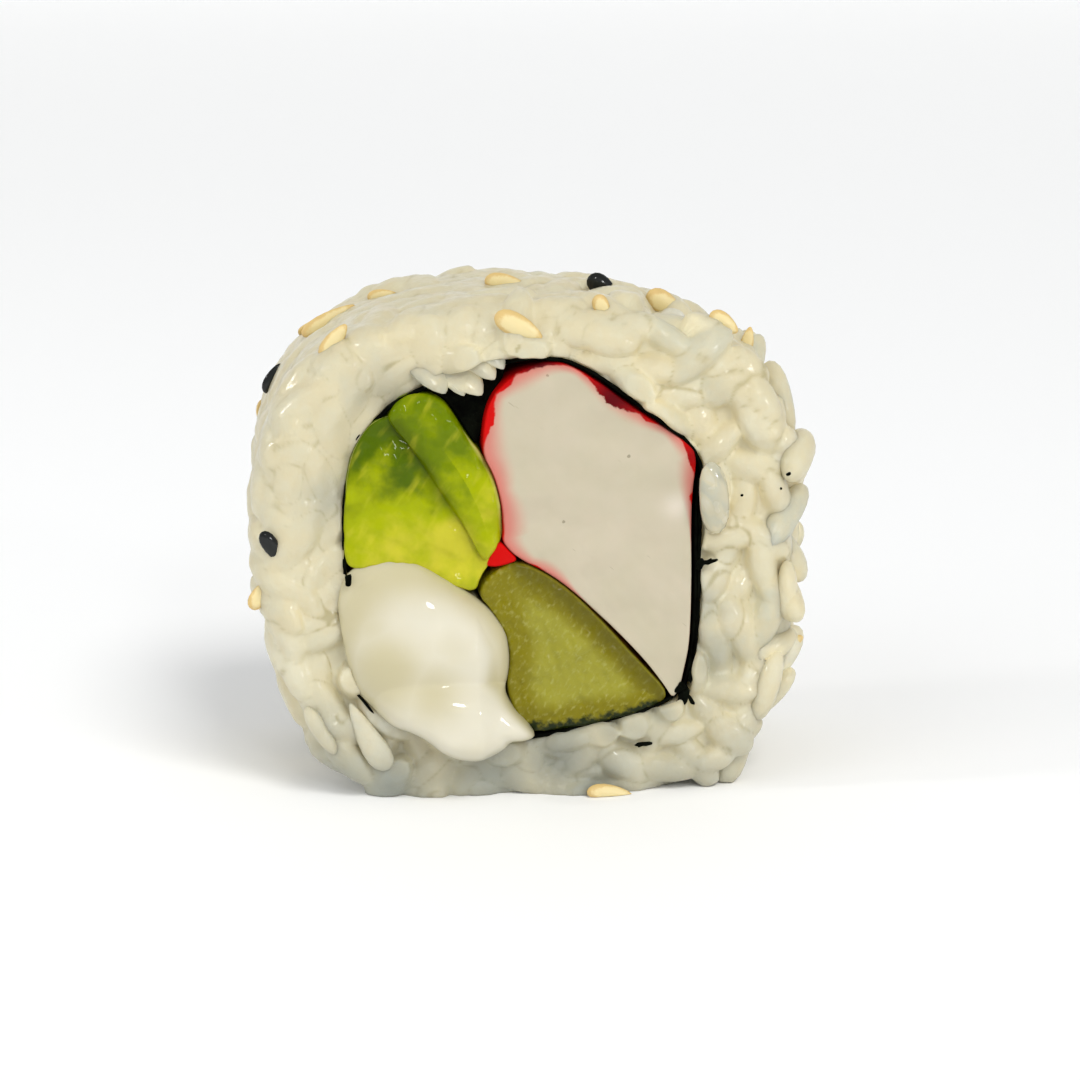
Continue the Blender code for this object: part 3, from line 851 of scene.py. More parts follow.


# Where the rice is pressed smooth, and where shade is painted on the cream and on the rice.
PRESSED = [
    Spot(-20.0, 30.0, 9.0, 1.0), Spot(-15.0, 37.0, 8.0, 1.0), Spot(-6.0, 40.0, 7.0, 0.9),
    Spot(1.5, 39.0, 4.5, 0.8), Spot(-21.0, 20.0, 6.0, 0.75), Spot(0.0, -2.0, 16.0, 0.5),
]
CREAM_SHADE = [
    Spot(-12.4, 11.2, 3.4, 1.0), Spot(-8.6, 9.7, 2.8, 0.7), Spot(-14.0, 15.2, 2.6, 0.6),
    Spot(-5.0, 4.0, 2.2, 0.3), Spot(-6.9, 13.0, 2.2, 0.3),
]
# Grey-blue shade painted on the rice: low on the cut face, where light from above falls off, and by
# the nori.
PAINTED_SHADE_SPOTS = [
    Spot(-3.5, 1.5, 4.5, 0.72), Spot(2.0, 3.0, 4.0, 0.75), Spot(8.0, 5.0, 3.6, 0.4),
    Spot(-11.5, 1.5, 3.5, 0.7), Spot(14.6, 11.5, 2.4, 0.5), Spot(14.5, 15.8, 2.0, 0.35),
    Spot(6.5, 5.6, 2.0, 0.55), Spot(10.5, 6.9, 1.6, 0.5), Spot(-16.8, 5.6, 2.8, 0.35),
    Spot(-16.8, 25.0, 2.0, 0.35), Spot(-12.6, 34.5, 2.0, 0.3), Spot(14.5, 6.5, 2.5, 0.2),
    Spot(5.0, 1.0, 4.0, 0.7), Spot(12.0, 0.0, 5.0, 0.5), Spot(-16.5, 1.0, 4.5, 0.65),
    Spot(17.0, 4.0, 3.0, 0.3),
]


@dataclass
class GrainBed:
    """Grains of rice as turned ellipsoids, one a row.

    Attributes:
        middles: Their middles.
        axes: Their unit directions along, across and through, as rows of a matrix each.
        halves: Their half sizes in those directions.
        tones: Their colours, from 0 for glassy to 1 for white.
    """

    middles: Array
    axes: Array
    halves: Array
    tones: Array

    def joined(self, other: "GrainBed") -> "GrainBed":
        """These grains and the other ones together."""
        pairs = zip(vars(self).values(), vars(other).values())
        return GrainBed(*(np.concatenate(pair) for pair in pairs))

    def placed(self, local: Array) -> Array:
        """The points of each grain, from its own scaled axes to the roll's millimetres."""
        sized = local * self.halves[:, None, :]
        return np.einsum("gpi,gij->gpj", sized, self.axes) + self.middles[:, None, :]

    def relief(self, points: Array, normals: Array, floor: Array,
               blend: float) -> tuple[Array, Array, Array]:
        """How high the grains stand over a surface.

        The line from a point p along its normal n leaves the unit ball of a grain, in the grain's
        own scaled axes, at t = (-b + sqrt(b b - a c)) / a, with a = |n|^2, b = p . n and
        c = |p|^2 - 1. The height is the smooth maximum of t over all grains and the floor.

        Args:
            points: The surface's points.
            normals: Its unit normals.
            floor: The height where no grain is.
            blend: Over how much height the creases are rounded.

        Returns:
            The heights, the top grain's tone, and a crease mask from 0 to 1 for tan and painted
            shade.
        """
        total = np.exp(floor / blend)
        best = floor.copy()
        shares = np.exp(floor / TONE_BLEND)
        toned = BARE_TONE * shares
        for middle, axes, halves, value in zip(self.middles, self.axes, self.halves, self.tones):
            away = points - middle
            near = np.flatnonzero(np.einsum("ij,ij->i", away, away) < (halves[0] + RISE_REACH) ** 2)
            start = away[near] @ axes.T / halves
            course = normals[near] @ axes.T / halves
            a = np.einsum("ij,ij->i", course, course)
            b = np.einsum("ij,ij->i", start, course)
            root = b * b - a * (np.einsum("ij,ij->i", start, start) - 1.0)
            hit = root > 0.0
            rise = np.clip((np.sqrt(root[hit]) - b[hit]) / a[hit], *RISE_LIMITS)
            where = near[hit]
            total[where] += np.exp(rise / blend)
            share = np.exp(rise / TONE_BLEND)
            shares[where] += share
            toned[where] += value * share
            best[where] = np.maximum(best[where], rise)
        height = blend * np.log(total)
        crease = np.clip((height - best) / (blend * math.log(2.0)), 0.0, 1.0)
        return height, toned / shares, crease


def on_face(x: Array, y: Array, z: Array) -> Array:
    """Points or directions from their three coordinates, of which each may be one number."""
    return np.stack(np.broadcast_arrays(x, y, z), -1)


def frames_at(normals: Array, heading: Array, tilt: Array, dice: np.random.Generator) -> Array:
    """Directions for things that lie on a surface.

    Args:
        normals: The surface's unit normals, one a row.
        heading: A direction near the surface for each thing's length.
        tilt: How far each one's length leans out of the surface, in radians.
        dice: Draws which end leans out.

    Returns:
        For each thing, its directions along, across and through as the rows of a matrix.
    """
    flat = unit(heading - normals * np.einsum("ij,ij->i", heading, normals)[:, None])
    lean = (tilt * dice.choice([-1.0, 1.0], len(tilt)))[:, None]
    along = unit(flat * np.cos(lean) + normals * np.sin(lean))
    across = unit(np.cross(normals, along))
    return np.stack([along, across, np.cross(along, across)], axis=1)


@dataclass(frozen=True)
class GrainShape:
    """How the ends of a bed's grains look, how grey they are, and any glints painted on them."""

    # How blunt and how pointed the ends are, where 2 and 1/2 make an ellipsoid, and how
    # much wider than the rest the far end is, on average.
    bluntness: float = 2.3
    point: float = 0.5
    taper: float = 0.0

    # Least grey of the grains, own grey or painted shade, and strength of painted glint patches.
    grain_grey_and_shade: float = 0.0
    painted_glint_patches: float = 0.0

    # Points round a ring, and rings between the two ends.
    segments: int = 14
    rings: int = 9

    def courses(self) -> tuple[Array, Array]:
        """Where the rings lie along a grain, from 1 to -1, and the angles of a ring's points."""
        t = np.cos(np.linspace(0.0, np.pi, self.rings + 2))[1:-1]
        return t, np.linspace(0.0, 2 * np.pi, self.segments, endpoint=False)

    def faces(self, count: int) -> tuple[Array, Array]:
        """The faces of many grains, each of which has its rings and then its two ends.

        Args:
            count: How many grains there are.

        Returns:
            The quads and the triangles.
        """
        quads, caps = capped_tube(self.rings, self.segments)
        starts = (np.arange(count) * (self.segments * self.rings + 2))[:, None, None]
        return (quads + starts).reshape(-1, 4), (caps + starts).reshape(-1, 3)

    def points(self, bed: GrainBed, dice: np.random.Generator) -> Array:
        """The surfaces of many grains at once.

        Ring t from -1 to 1 along a grain has the radius (1 - |t|^bluntness)^point, a little larger
        towards one end, and its middle is bent off the straight line by bend (t^2 - 1/3).

        Args:
            bed: The grains.
            dice: Draws each grain's own bend and taper.

        Returns:
            For each grain its rings, then its two ends, as (grains, points, 3).
        """
        count = len(bed.middles)
        t, turn = self.courses()
        taper = self.taper + dice.uniform(-TAPER_SPREAD, TAPER_SPREAD, (count, 1, 1))
        bend = dice.uniform(-BEND_SPREAD, BEND_SPREAD, (count, 1, 1))
        profile = (1.0 - np.abs(t) ** self.bluntness) ** self.point
        radius = profile[None, :, None] * (1.0 + taper * t[None, :, None])
        along = np.broadcast_to(t[None, :, None], (count, self.rings, self.segments))
        across = radius * np.cos(turn) + bend * (along ** 2 - 1 / 3)
        through = np.broadcast_to(radius * np.sin(turn), along.shape)
        body = np.stack([along, across, through], -1).reshape(count, -1, 3)
        ends = np.zeros((count, 2, 3))
        ends[:, :, 0] = (1.0, -1.0)
        ends[:, :, 1] = bend[:, :, 0] * (2 / 3)
        return bed.placed(np.concatenate([body, ends], axis=1))


@dataclass(frozen=True)
class Sighting:
    """A grain or seed that shows from the front, placed where the line of sight meets the roll."""

    # Where the line of sight passes the front cut face, and the angle of its length there,
    # in degrees from +X towards +Z.
    x: float
    z: float
    turn: float

    # Its size, and how far its middle stands over the surface.
    length: float
    width: float
    lift: float = 0.1

    # Its colour, from 0 for glassy to 1 for white, how far its length leans out of the
    # surface, in degrees, and whether it stands clear of the ring, as a loose grain.
    tone: float = 0.7
    tilt: float = 0.0
    free: bool = False


def headings(sightings: list[Sighting]) -> Array:
    """The direction of each one's length on the cut face."""
    turns = np.radians([s.turn for s in sightings])
    return on_face(np.cos(turns), 0.0, np.sin(turns))


class LightKind(Enum):
    """The two kinds of light: a sun, which lights all evenly, and a round lamp."""

    SUN = "SUN"
    LAMP = "AREA"


@dataclass(frozen=True)
class Light:
    """A soft light that faces the middle of the roll. Only a lamp shows in the wet film."""

    kind: LightKind
    name: str

    # Where it stands in millimetres, the sun's width in degrees or the lamp's diameter in
    # millimetres, and the sun's strength or the lamp's watts.
    place: Place
    size: float
    power: float
    colour: Colour = (1.0, 1.0, 1.0)

    def build(self) -> None:
        """Adds the light to the scene."""
        data = bpy.data.lights.new(self.name, self.kind.value)
        data.energy = self.power
        data.color = self.colour
        if self.kind is LightKind.SUN:
            data.angle = math.radians(self.size)
        else:
            data.shape = "DISK"
            data.size = self.size * MM
        light = bpy.data.objects.new(self.name, data)
        bpy.context.scene.collection.objects.link(light)
        light.location = Vector(self.place) * MM
        light.visible_glossy = self.kind is LightKind.LAMP
        course = Vector(LIGHT_AIM) * MM - light.location
        light.rotation_euler = course.to_track_quat("-Z", "Y").to_euler()


# The middle of the roll, and a key light above, a softer one from the left, and small lamps.
LIGHT_AIM = (0.0, 0.0, 20.0)
LIGHTS = [
    Light(LightKind.SUN, "key", (150.0, -330.0, 430.0), 22.0, 1.39, (1.0, 0.985, 0.955)),
    Light(LightKind.SUN, "fill", (-300.0, -260.0, 260.0), 40.0, 0.45, (0.97, 0.985, 1.0)),
    Light(LightKind.LAMP, "glint", (60.0, -400.0, 230.0), 55.0, 0.22),
    Light(LightKind.LAMP, "left glint", (-420.0, -60.0, 230.0), 50.0, 0.3),
    Light(LightKind.LAMP, "side glint", (250.0, -290.0, 90.0), 40.0, 0.15),
]


@dataclass
class Studio:
    """A pale sweep of floor and wall, soft lights, and the camera."""

    # The camera's distance from the point aim (x, z) of the front cut face, in millimetres,
    # how far it stands to the right and looks down, in degrees, and its focal length on a
    # sensor 36 mm wide.
    distance: float = 244.0
    azimuth: float = -5.0
    elevation: float = 12.0
    lens: float = 100.0
    aim: tuple[float, float] = (0.41, 21.6)

    # Where the floor starts along y and where it bends up, the bend's radius, the height
    # of the wall, and half the width of both.
    floor_start: float = -1500.0
    floor_end: float = 3200.0
    bend: float = 300.0
    wall_top: float = 2500.0
    half_width: float = 3000.0

    # The colour of floor and wall, and of the light from all round, and its strength.
    floor_colour: Colour = (0.97, 0.975, 0.975)
    room_colour: Colour = (0.97, 0.98, 1.0)
    room_light: float = 0.5

    def eye(self) -> Array:
        """Where the camera stands.

        Returns:
            The point, in millimetres.
        """
        side, rise = math.radians(self.azimuth), math.radians(self.elevation)
        back = (math.sin(side) * math.cos(rise), -math.cos(side) * math.cos(rise), math.sin(rise))
        return np.array((self.aim[0], FRONT, self.aim[1])) + np.array(back) * self.distance

    def build_camera(self) -> None:
        """Makes the camera and gives it to the scene."""
        data = bpy.data.cameras.new("camera")
        data.lens = self.lens
        data.sensor_width = 36.0
        data.clip_start = 0.01
        camera = bpy.data.objects.new("camera", data)
        bpy.context.scene.collection.objects.link(camera)
        eye = Vector(self.eye()) * MM
        aim = Vector((self.aim[0], FRONT, self.aim[1])) * MM
        camera.location = eye
        camera.rotation_euler = (aim - eye).to_track_quat("-Z", "Y").to_euler()
        bpy.context.scene.camera = camera

    def build_sweep(self) -> None:
        """The floor, which bends up into a wall: a profile along y and z, carried along x."""
        turn = np.linspace(0.0, np.pi / 2, 24)
        bent_depth = self.floor_end + self.bend * np.sin(turn)
        bent_height = self.bend * (1.0 - np.cos(turn))
        depth = np.concatenate([[self.floor_start], bent_depth, [self.floor_end + self.bend]])
        height = np.concatenate([[0.0], bent_height, [self.wall_top]])
        across = np.linspace(-self.half_width, self.half_width, 9)
        points = on_face(across[:, None], depth, height)
        quads = grid_quads(len(across), len(depth), False, False)
        mesh = make_mesh("floor", points.reshape(-1, 3), quads, NO_TRIANGLES, {})
        material = bpy.data.materials.new("pale floor")
        material.use_nodes = True
        shader = material.node_tree.nodes["Principled BSDF"]
        shader.inputs["Base Color"].default_value = (*self.floor_colour, 1.0)
        shader.inputs["Roughness"].default_value = 0.9
        shader.inputs["Specular IOR Level"].default_value = 0.1
        mesh.materials.append(material)
        floor = bpy.data.objects.new("floor", mesh)
        bpy.context.scene.collection.objects.link(floor)

    def build_lights(self) -> None:
        """Adds the lights, and an even light from all round."""
        for light in LIGHTS:
            light.build()
        world = bpy.data.worlds.new("soft room")
        world.use_nodes = True
        background = world.node_tree.nodes["Background"]
        background.inputs["Color"].default_value = (*self.room_colour, 1.0)
        background.inputs["Strength"].default_value = self.room_light
        bpy.context.scene.world = world
        bpy.context.scene.view_settings.view_transform = "Standard"

    def build(self) -> None:
        """Makes the camera, the sweep and the lights."""
        self.build_camera()
        self.build_sweep()
        self.build_lights()
        log.info("studio built")


def grid_cross(points: Array) -> Array:
    """The cross product of a grid's two tangents at each point; the grid is a ring both ways.

    Args:
        points: The grid, as (columns, rows, 3).

    Returns:
        For each point an outward vector, four times as long as its cell is large.
    """
    around = np.roll(points, -1, axis=0) - np.roll(points, 1, axis=0)
    along = np.roll(points, -1, axis=1) - np.roll(points, 1, axis=1)
    return np.cross(along, around)


def evened(values: Array, shape: tuple[int, int], passes: int) -> Array:
    """Values on a grid that is a ring both ways, averaged with their neighbours.

    Args:
        values: One number for each point.
        shape: The grid's columns and rows.
        passes: How often they are averaged.

    Returns:
        The averaged values, in the same order.
    """
    grid = values.reshape(shape)
    for _ in range(passes):
        for axis in (0, 1):
            grid = (4 * grid + np.roll(grid, 1, axis) + np.roll(grid, -1, axis)) / 6
    return grid.ravel()


@dataclass
class Rice:
    """The ring of rice with its loose grains and sesame seeds.

    The ring is a section carried round the roll. In each direction from the middle, the section is
    a rectangle with rounded corners between the hole for the nori and the outer outline. The
    grains pressed into it raise its surface, and loose ones lie on it.
    """

    studio: Studio

    # Points round the roll, and then along each part of the section.
    columns: int = 600
    rim_rows: int = 6
    round_rows: int = 14
    face_rows: int = 33
    back_rows: int = 21
    side_rows: int = 55
    hole_rows: int = 10

    # How far the bare ring lies inside the outline over the grains, and at its ends.
    inset: float = 0.8
    end_inset: float = 0.55

    # Roundings: at the hole, between a cut face and the outer side, and there below.
    hole_rim: float = 0.3
    outer_rim: float = 2.6
    low_rim: float = 1.1

    # How far the rice draws back round the hole at the left, and how far from it.
    recess: float = 0.9
    recess_reach: float = 2.0

    # Least distance between grains pressed in, and the rounding of their creases.
    spacing: float = 2.5
    blend: float = 0.045

    # Loose grains and further sesame seeds that are scattered, and how far a grain may
    # leave the solids' box, as a share of each side.
    loose_count: int = 60
    seed_count: int = 46
    spare: float = 0.028

    # How near a cut face the hole's wall has grains, and how deep rice is between grains.
    cut_zone: float = 1.2
    bare_depth: float = 0.7

    # Pressed rice: the share of that depth that is filled, its height, and how much of its
    # relief is left. Loose grains end at left_limit, so that the smooth side stays clean.
    filled: float = 0.65
    pressed_height: float = 0.55
    pressed_relief: float = 0.42
    left_limit: float = -19.0
    centre: tuple[float, float] = (-0.8, 20.5)
    dice: np.random.Generator = field(default_factory=lambda: np.random.default_rng(23))

    # The finished ring: its points and normals, the area of each where grains can lie, how
    # smooth it is pressed, whether it faces away from the camera, and its faces.
    points: Array | None = None
    normals: Array | None = None
    areas: Array | None = None
    pressed: Array | None = None
    unseen: Array | None = None
    tree: BVHTree | None = None

    def section(self, large: float) -> tuple[Array, Array, Array]:
        """The section from the hole's front edge out, along the side, and back in behind.

        Args:
            large: Rounding between a cut face and the outer side.

        Returns:
            For each row, the share of the ring's thickness and the millimetres to add to it, which
            give its distance from the hole, and its y.
        """
        front, back = FRONT + self.end_inset, BACK - self.end_inset
        small = self.hole_rim
        turn = np.linspace(0.0, np.pi / 2, self.rim_rows, endpoint=False)
        wide = np.linspace(0.0, np.pi / 2, self.round_rows, endpoint=False)
        face = np.linspace(0.0, 1.0, self.face_rows, endpoint=False)
        behind = np.linspace(1.0, 0.0, self.back_rows, endpoint=False)
        side = np.linspace(front + large, back - large, self.side_rows, endpoint=False)
        inner = np.linspace(back - small, front + small, self.hole_rows, endpoint=False)
        parts = [
            (0.0 * turn, small * (1 - np.cos(turn)), front + small * (1 - np.sin(turn))),
            (face, small - face * (small + large), front + 0.0 * face),
            (1.0 + 0.0 * wide, large * (np.sin(wide) - 1), front + large * (1 - np.cos(wide))),
            (1.0 + 0.0 * side, 0.0 * side, side),
            (1.0 + 0.0 * wide, large * (np.cos(wide) - 1), back - large * (1 - np.sin(wide))),
            (behind, small - behind * (small + large), back + 0.0 * behind),
            (0.0 * turn, small * (1 - np.sin(turn)), back - small * (1 - np.cos(turn))),
            (0.0 * inner, 0.0 * inner, inner),
        ]
        share, extra, y = (np.concatenate(column) for column in zip(*parts))
        return share, extra, y

    def bare_ring(self) -> tuple[Array, Array]:
        """The ring without grains.

        The rounding is low_rim below a height of 1, and outer_rim above 8. The front is recessed by
        recess exp(-(distance to the hole / recess_reach)^2), only at the left.

        Returns:
            Its points (columns, rows, 3), and how far out each row is, from 0 to 1.
        """
        centre = np.array(self.centre)
        outer = drawn_round(ROLL_LINE, self.columns, self.inset)
        angles = np.arctan2(*(outer - centre).T[::-1])
        reach = np.linalg.norm(outer - centre, axis=1)
        hole = polar_reach(nori_turns(self.columns)[2], centre, angles)
        share, extra, y = self.section(self.outer_rim)
        _, low_extra, low_y = self.section(self.low_rim)
        low = 1.0 - smooth_step(outer[:, 1:], 1.0, 8.0)
        extra = extra + low * (low_extra - extra)
        y = y + low * (low_y - y)
        distance = hole[:, None] + share * (reach - hole)[:, None] + extra
        x = centre[0] + distance * np.cos(angles)[:, None]
        z = centre[1] + distance * np.sin(angles)[:, None]
        by_hole = np.exp(-((distance - hole[:, None]) / self.recess_reach) ** 2)
        left = smooth_step(-outer[:, :1], 5.0, 13.0) * smooth_step(outer[:, 1:], 8.0, 16.0)
        y = y + self.recess * left * by_hole * np.clip(y / FRONT, 0.0, 1.0)
        return np.stack([x, y, z], -1), np.broadcast_to(share, x.shape)

    def pick_places(self, points: Array, spacing: float, tries: int, wanted: Array) -> Array:
        """Random points of the grid that keep a distance from each other.

        Args:
            points: The grid's points, one a row.
            spacing: The least distance.
            tries: How many points are drawn.
            wanted: How likely each point is to be drawn.

        Returns:
            The numbers of the points.
        """
        drawn = self.dice.choice(len(points), tries, p=wanted / wanted.sum())
        kept = np.empty((0, 3))
        numbers = []
        for number in drawn:
            place = points[number]
            if not len(kept) or np.min(np.sum((kept - place) ** 2, axis=1)) > spacing ** 2:
                kept = np.vstack([kept, place])
                numbers.append(number)
        return np.array(numbers)

    def bed_on(self, places: Array, normals: Array, depth: Array, tilt: Array) -> GrainBed:
        """Grains that lie on or in the surface at those places, at random headings.

        Args:
            places: Points on the surface.
            normals: Its normals there.
            depth: How far each grain's middle lies under it.
            tilt: How far each grain leans out of it, in radians.

        Returns:
            The grains.
        """
        count = len(places)
        heading = unit(np.cross(normals, self.dice.normal(size=(count, 3))))
        axes = frames_at(normals, heading, tilt, self.dice)
        halves = np.array(GRAIN) / 2 * self.dice.uniform(0.82, 1.12, (count, 3))
        tones = np.clip(self.dice.normal(0.5, 0.2, count), 0.0, 1.0)
        return GrainBed(places - normals * depth[:, None], axes, halves, tones)

    def build_ring(self, material: Material) -> None:
        """The ring, raised by the grains pressed into it, and flat where it rests.

        Args:
            material: Its finish.
        """
        grid, share = self.bare_ring()
        cross = grid_cross(grid).reshape(-1, 3)
        normals = unit(cross)
        points = grid.reshape(-1, 3)
        pressed = np.clip(strongest(PRESSED, points[:, 0], points[:, 2]), 0.0, 1.0)
        outer = (share > 0.0).ravel() | (points[:, 1] < FRONT + self.cut_zone)
        outer |= points[:, 1] > BACK - self.cut_zone
        areas = np.linalg.norm(cross, axis=-1) / 4
        numbers = self.pick_places(points, self.spacing, 9000, areas * outer)
        depth = self.dice.uniform(0.15, 1.2, len(numbers))
        lean = np.abs(self.dice.normal(0.0, 0.16, len(numbers)))
        quads = grid_quads(grid.shape[0], grid.shape[1], True, True)
        self.tree = BVHTree.FromPolygons(points.tolist(), quads.tolist())
        seen = self.sighted([grain for grain in SEEN_GRAINS if not grain.free], 0.85, 0.35, 0.1)
        bed = self.bed_on(points[numbers], normals[numbers], depth,
                          lean * (1.0 - 0.6 * pressed[numbers])).joined(seen)
        floor = -self.bare_depth + self.filled * pressed
        height, tone, crease = bed.relief(points, normals, floor, self.blend)
        height = self.smoothed(evened(height, grid.shape[:2], 1), points, pressed)
        middle = np.array(self.centre)
        wall = -np.einsum("ij,ij->i", unit(points[:, ::2] - middle), normals[:, ::2])
        height *= 1.0 - smooth_step(wall, 0.1, 0.5)
        raised = points + normals * height[:, None]
        raised[:, 2] = np.maximum(raised[:, 2], 0.0)
        values = {
            "tone": 0.5 + (evened(tone, grid.shape[:2], 3) - 0.5) * (1.0 - 0.7 * pressed),
            "crease": evened(crease, grid.shape[:2], 1) * (1.0 - 0.35 * pressed),
            "damp": self.damp(raised),
        }
        mesh = make_mesh("rice_ring", raised, quads, NO_TRIANGLES, values)
        make_piece(mesh, material, "cooked_rice", "rice")
        self.points = raised
        self.normals = unit(grid_cross(raised.reshape(grid.shape))).reshape(-1, 3)
        self.areas = areas * (outer & (wall < 0.1))
        self.unseen = np.einsum("ij,ij->i", normals, unit(self.studio.eye() - raised)) < -0.12
        self.pressed = pressed
        self.tree = BVHTree.FromPolygons(raised.tolist(), quads.tolist())

    def smoothed(self, height: Array, points: Array, pressed: Array) -> Array:
        """The relief, drawn towards one height where the rice is pressed, with fine waves on it.

        Args:
            height: The relief's height at each point.
            points: The points.
            pressed: How smooth the rice is pressed there, from 0 to 1.

        Returns:
            The new heights.
        """
        flat = self.pressed_height + self.pressed_relief * (height - self.pressed_height)
        height = height + (flat - height) * pressed
        return height + 0.025 * waves(points, 1.4, 5) + 0.1 * waves(points, 9.0, 6)

    @staticmethod
    def damp(points: Array) -> Array:
        """Painted grey-blue shade on the rice at each point, weaker behind the front cut face."""
        fade = 1.0 - 0.6 * smooth_step(points[:, 1], FRONT + 3.0, FRONT + 12.0)
        return np.clip(strongest(PAINTED_SHADE_SPOTS, points[:, 0], points[:, 2]), 0.0, 1.0) * fade

    def look(self, sighting: Sighting) -> tuple[Array, Array]:
        """Where the line of sight through a point of the front cut face meets the rice.

        Args:
            sighting: What is looked at.

        Returns:
            The point and the surface's normal, or those of the cut face where it meets no rice.
        """
        eye = self.studio.eye()
        through = np.array((sighting.x, FRONT, sighting.z))
        course = unit(through - eye)
        place, normal, _, _ = self.tree.ray_cast(Vector(eye), Vector(course))
        if place is None or place.y > FRONT + FAR_BEHIND and abs(place.z - sighting.z) > FAR_ABOVE:
            return through + course * FREE_DEPTH, np.array((0.0, -1.0, 0.0))
        return np.array(place), np.array(normal)

    def sighted(self, sightings: list[Sighting], thickness: float, facing: float,
                sunk: float) -> GrainBed:
        """The grains or seeds of a list, laid where they are seen.

        Args:
            sightings: What is seen.
            thickness: The thickness as a share of the width.
            facing: How much they turn their flat side to the front.
            sunk: How far all of them lie deeper than their own lift says.

        Returns:
            The grains or seeds.
        """
        spots = [self.look(sighting) for sighting in sightings]
        places = np.array([place for place, _ in spots])
        normals = unit(np.array([normal for _, normal in spots]) + np.array((0.0, -facing, 0.0)))
        tilt = np.radians([s.tilt for s in sightings])
        axes = frames_at(normals, headings(sightings), tilt, np.random.default_rng(1))
        sizes = np.array([(s.length, s.width, s.width * thickness) for s in sightings])
        lifts = np.array([s.lift - sunk for s in sightings])[:, None]
        tones = np.array([s.tone for s in sightings])
        return GrainBed(places + normals * lifts, axes, sizes / 2, tones)

    def scattered_grains(self) -> GrainBed:
        """Loose grains scattered over the rough parts that the photo doesn't show one by one.

        Returns:
            The grains.
        """
        x, y, z = self.points.T
        rough = np.clip(1.0 - 1.1 * self.pressed, 0.0, 1.0) * self.areas
        rough *= (z > LOOSE_LOW) & (z < LOOSE_HIGH) & (self.unseen | (x > LOOSE_RIGHT))
        rough *= (y > FRONT + 1.5) & (y < BACK - 1.0)
        rough *= (x > LOOSE_LEFT) | (y > 0.0)
        numbers = self.pick_places(self.points, 2.9, 4000, rough)[:self.loose_count]
        depth = self.dice.uniform(0.1, 0.5, len(numbers))
        tilt = np.abs(self.dice.normal(0.0, 0.22, len(numbers)))
        return self.bed_on(self.points[numbers], self.normals[numbers], depth, tilt)

    def inside_limits(self, bed: GrainBed) -> GrainBed:
        """The grains that stay inside the solids' box, with a little room round it.

        Half the extent of a turned grain is the length of (half size times axis) on each axis.

        Args:
            bed: The grains.

        Returns:
            Those of them that stay inside.
        """
        low, high = (np.array(corner) / MM for corner in CAD_BOX)
        room = self.spare * (high - low)
        reach = np.linalg.norm(bed.halves[:, :, None] * bed.axes, axis=1)
        kept = (bed.middles - reach > low - room) & (bed.middles + reach < high + room)
        kept = kept.all(axis=1) & (bed.middles[:, 0] > self.left_limit)
        return GrainBed(*(values[kept] for values in vars(bed).values()))

    def build_loose(self, material: Material) -> None:
        """The loose grains, the long grain below the cream and the glassy one by the nori.

        Args:
            material: The finish of all but the glassy one.
        """
        scattered = self.scattered_grains()
        seen = self.sighted([grain for grain in SEEN_GRAINS if grain.free], 0.8, 0.35, 0.35)
        bed = self.inside_limits(scattered.joined(seen))
        self.build_grain_piece("loose_grains", bed, GrainShape(), material)
        spoon = self.sighted([SPOON_GRAIN], 0.45, 3.0, -0.1)
        self.build_grain_piece("spoon_grain", spoon, GrainShape(2.6, 0.5, 0.5), material)
        glassy = self.sighted([GLASSY_GRAIN], 0.7, 3.0, 0.2)
        # The glassy grain's grey is its own; its pale patches are painted glints.
        shape = GrainShape(2.6, 0.5, 0.0, 0.26, 0.45)
        wet = Moist(0.3, 0.12, 700.0, 1.0, 0.04, 0.5, (1.2, 1.2, 1.2), 0.12)
        finish = RiceFinish("glassy rice", moist=wet)
        self.build_grain_piece("glassy_grain", glassy, shape, finish.material())

    def build_hanging(self, material: Material) -> None:
        """The flat pointed grains that hang over the dark gap, their lower ends leaning into it.

        Args:
            material: Their finish.
        """
        eye = self.studio.eye()
        through = np.array([(s.x, FRONT, s.z) for s in HANGING_GRAINS])
        lifts = np.array([s.lift for s in HANGING_GRAINS])[:, None]
        lean = np.radians([s.tilt for s in HANGING_GRAINS])[:, None]
        along = headings(HANGING_GRAINS) * np.cos(lean) + np.array((0.0, 1.0, 0.0)) * np.sin(lean)
        across = unit(np.cross(np.array((0.35, -1.0, 0.0)), along))
        axes = np.stack([along, across, np.cross(along, across)], axis=1)
        sizes = np.array([(s.length, s.width, HANGING_THICKNESS) for s in HANGING_GRAINS])
        tones = np.array([s.tone for s in HANGING_GRAINS])
        bed = GrainBed(through - unit(through - eye) * lifts, axes, sizes / 2, tones)
        # Their grey is partly painted shade from the rice above them.
        self.build_grain_piece("hanging_grains", bed, GrainShape(1.8, 0.7, 0.0, 0.28), material)

    def build_grain_piece(self, name: str, bed: GrainBed, shape: GrainShape,
                          material: Material) -> None:
        """All grains of a bed as one piece.

        Args:
            name: The piece's name.
            bed: The grains.
            shape: How their ends look, how grey they are, and their painted glints.
            material: Their finish.
        """
        points = shape.points(bed, self.dice)
        points[:, :, 2] = np.maximum(points[:, :, 2], 0.0)
        flat = points.reshape(-1, 3)
        tones = np.repeat(bed.tones, points.shape[1])
        grain_grey_and_shade = shape.grain_grey_and_shade * (0.7 + 0.3 * waves(flat, 2.5, 91))
        values = {
            # Pale patches on a grain are painted glints.
            "tone": tones + shape.painted_glint_patches * waves(flat, 1.3, 92),
            "crease": np.zeros(len(flat)),
            "damp": np.maximum(self.damp(flat) * 0.8, grain_grey_and_shade),
        }
        mesh = make_mesh(name, flat, *shape.faces(len(points)), values)
        make_piece(mesh, material, "cooked_rice")

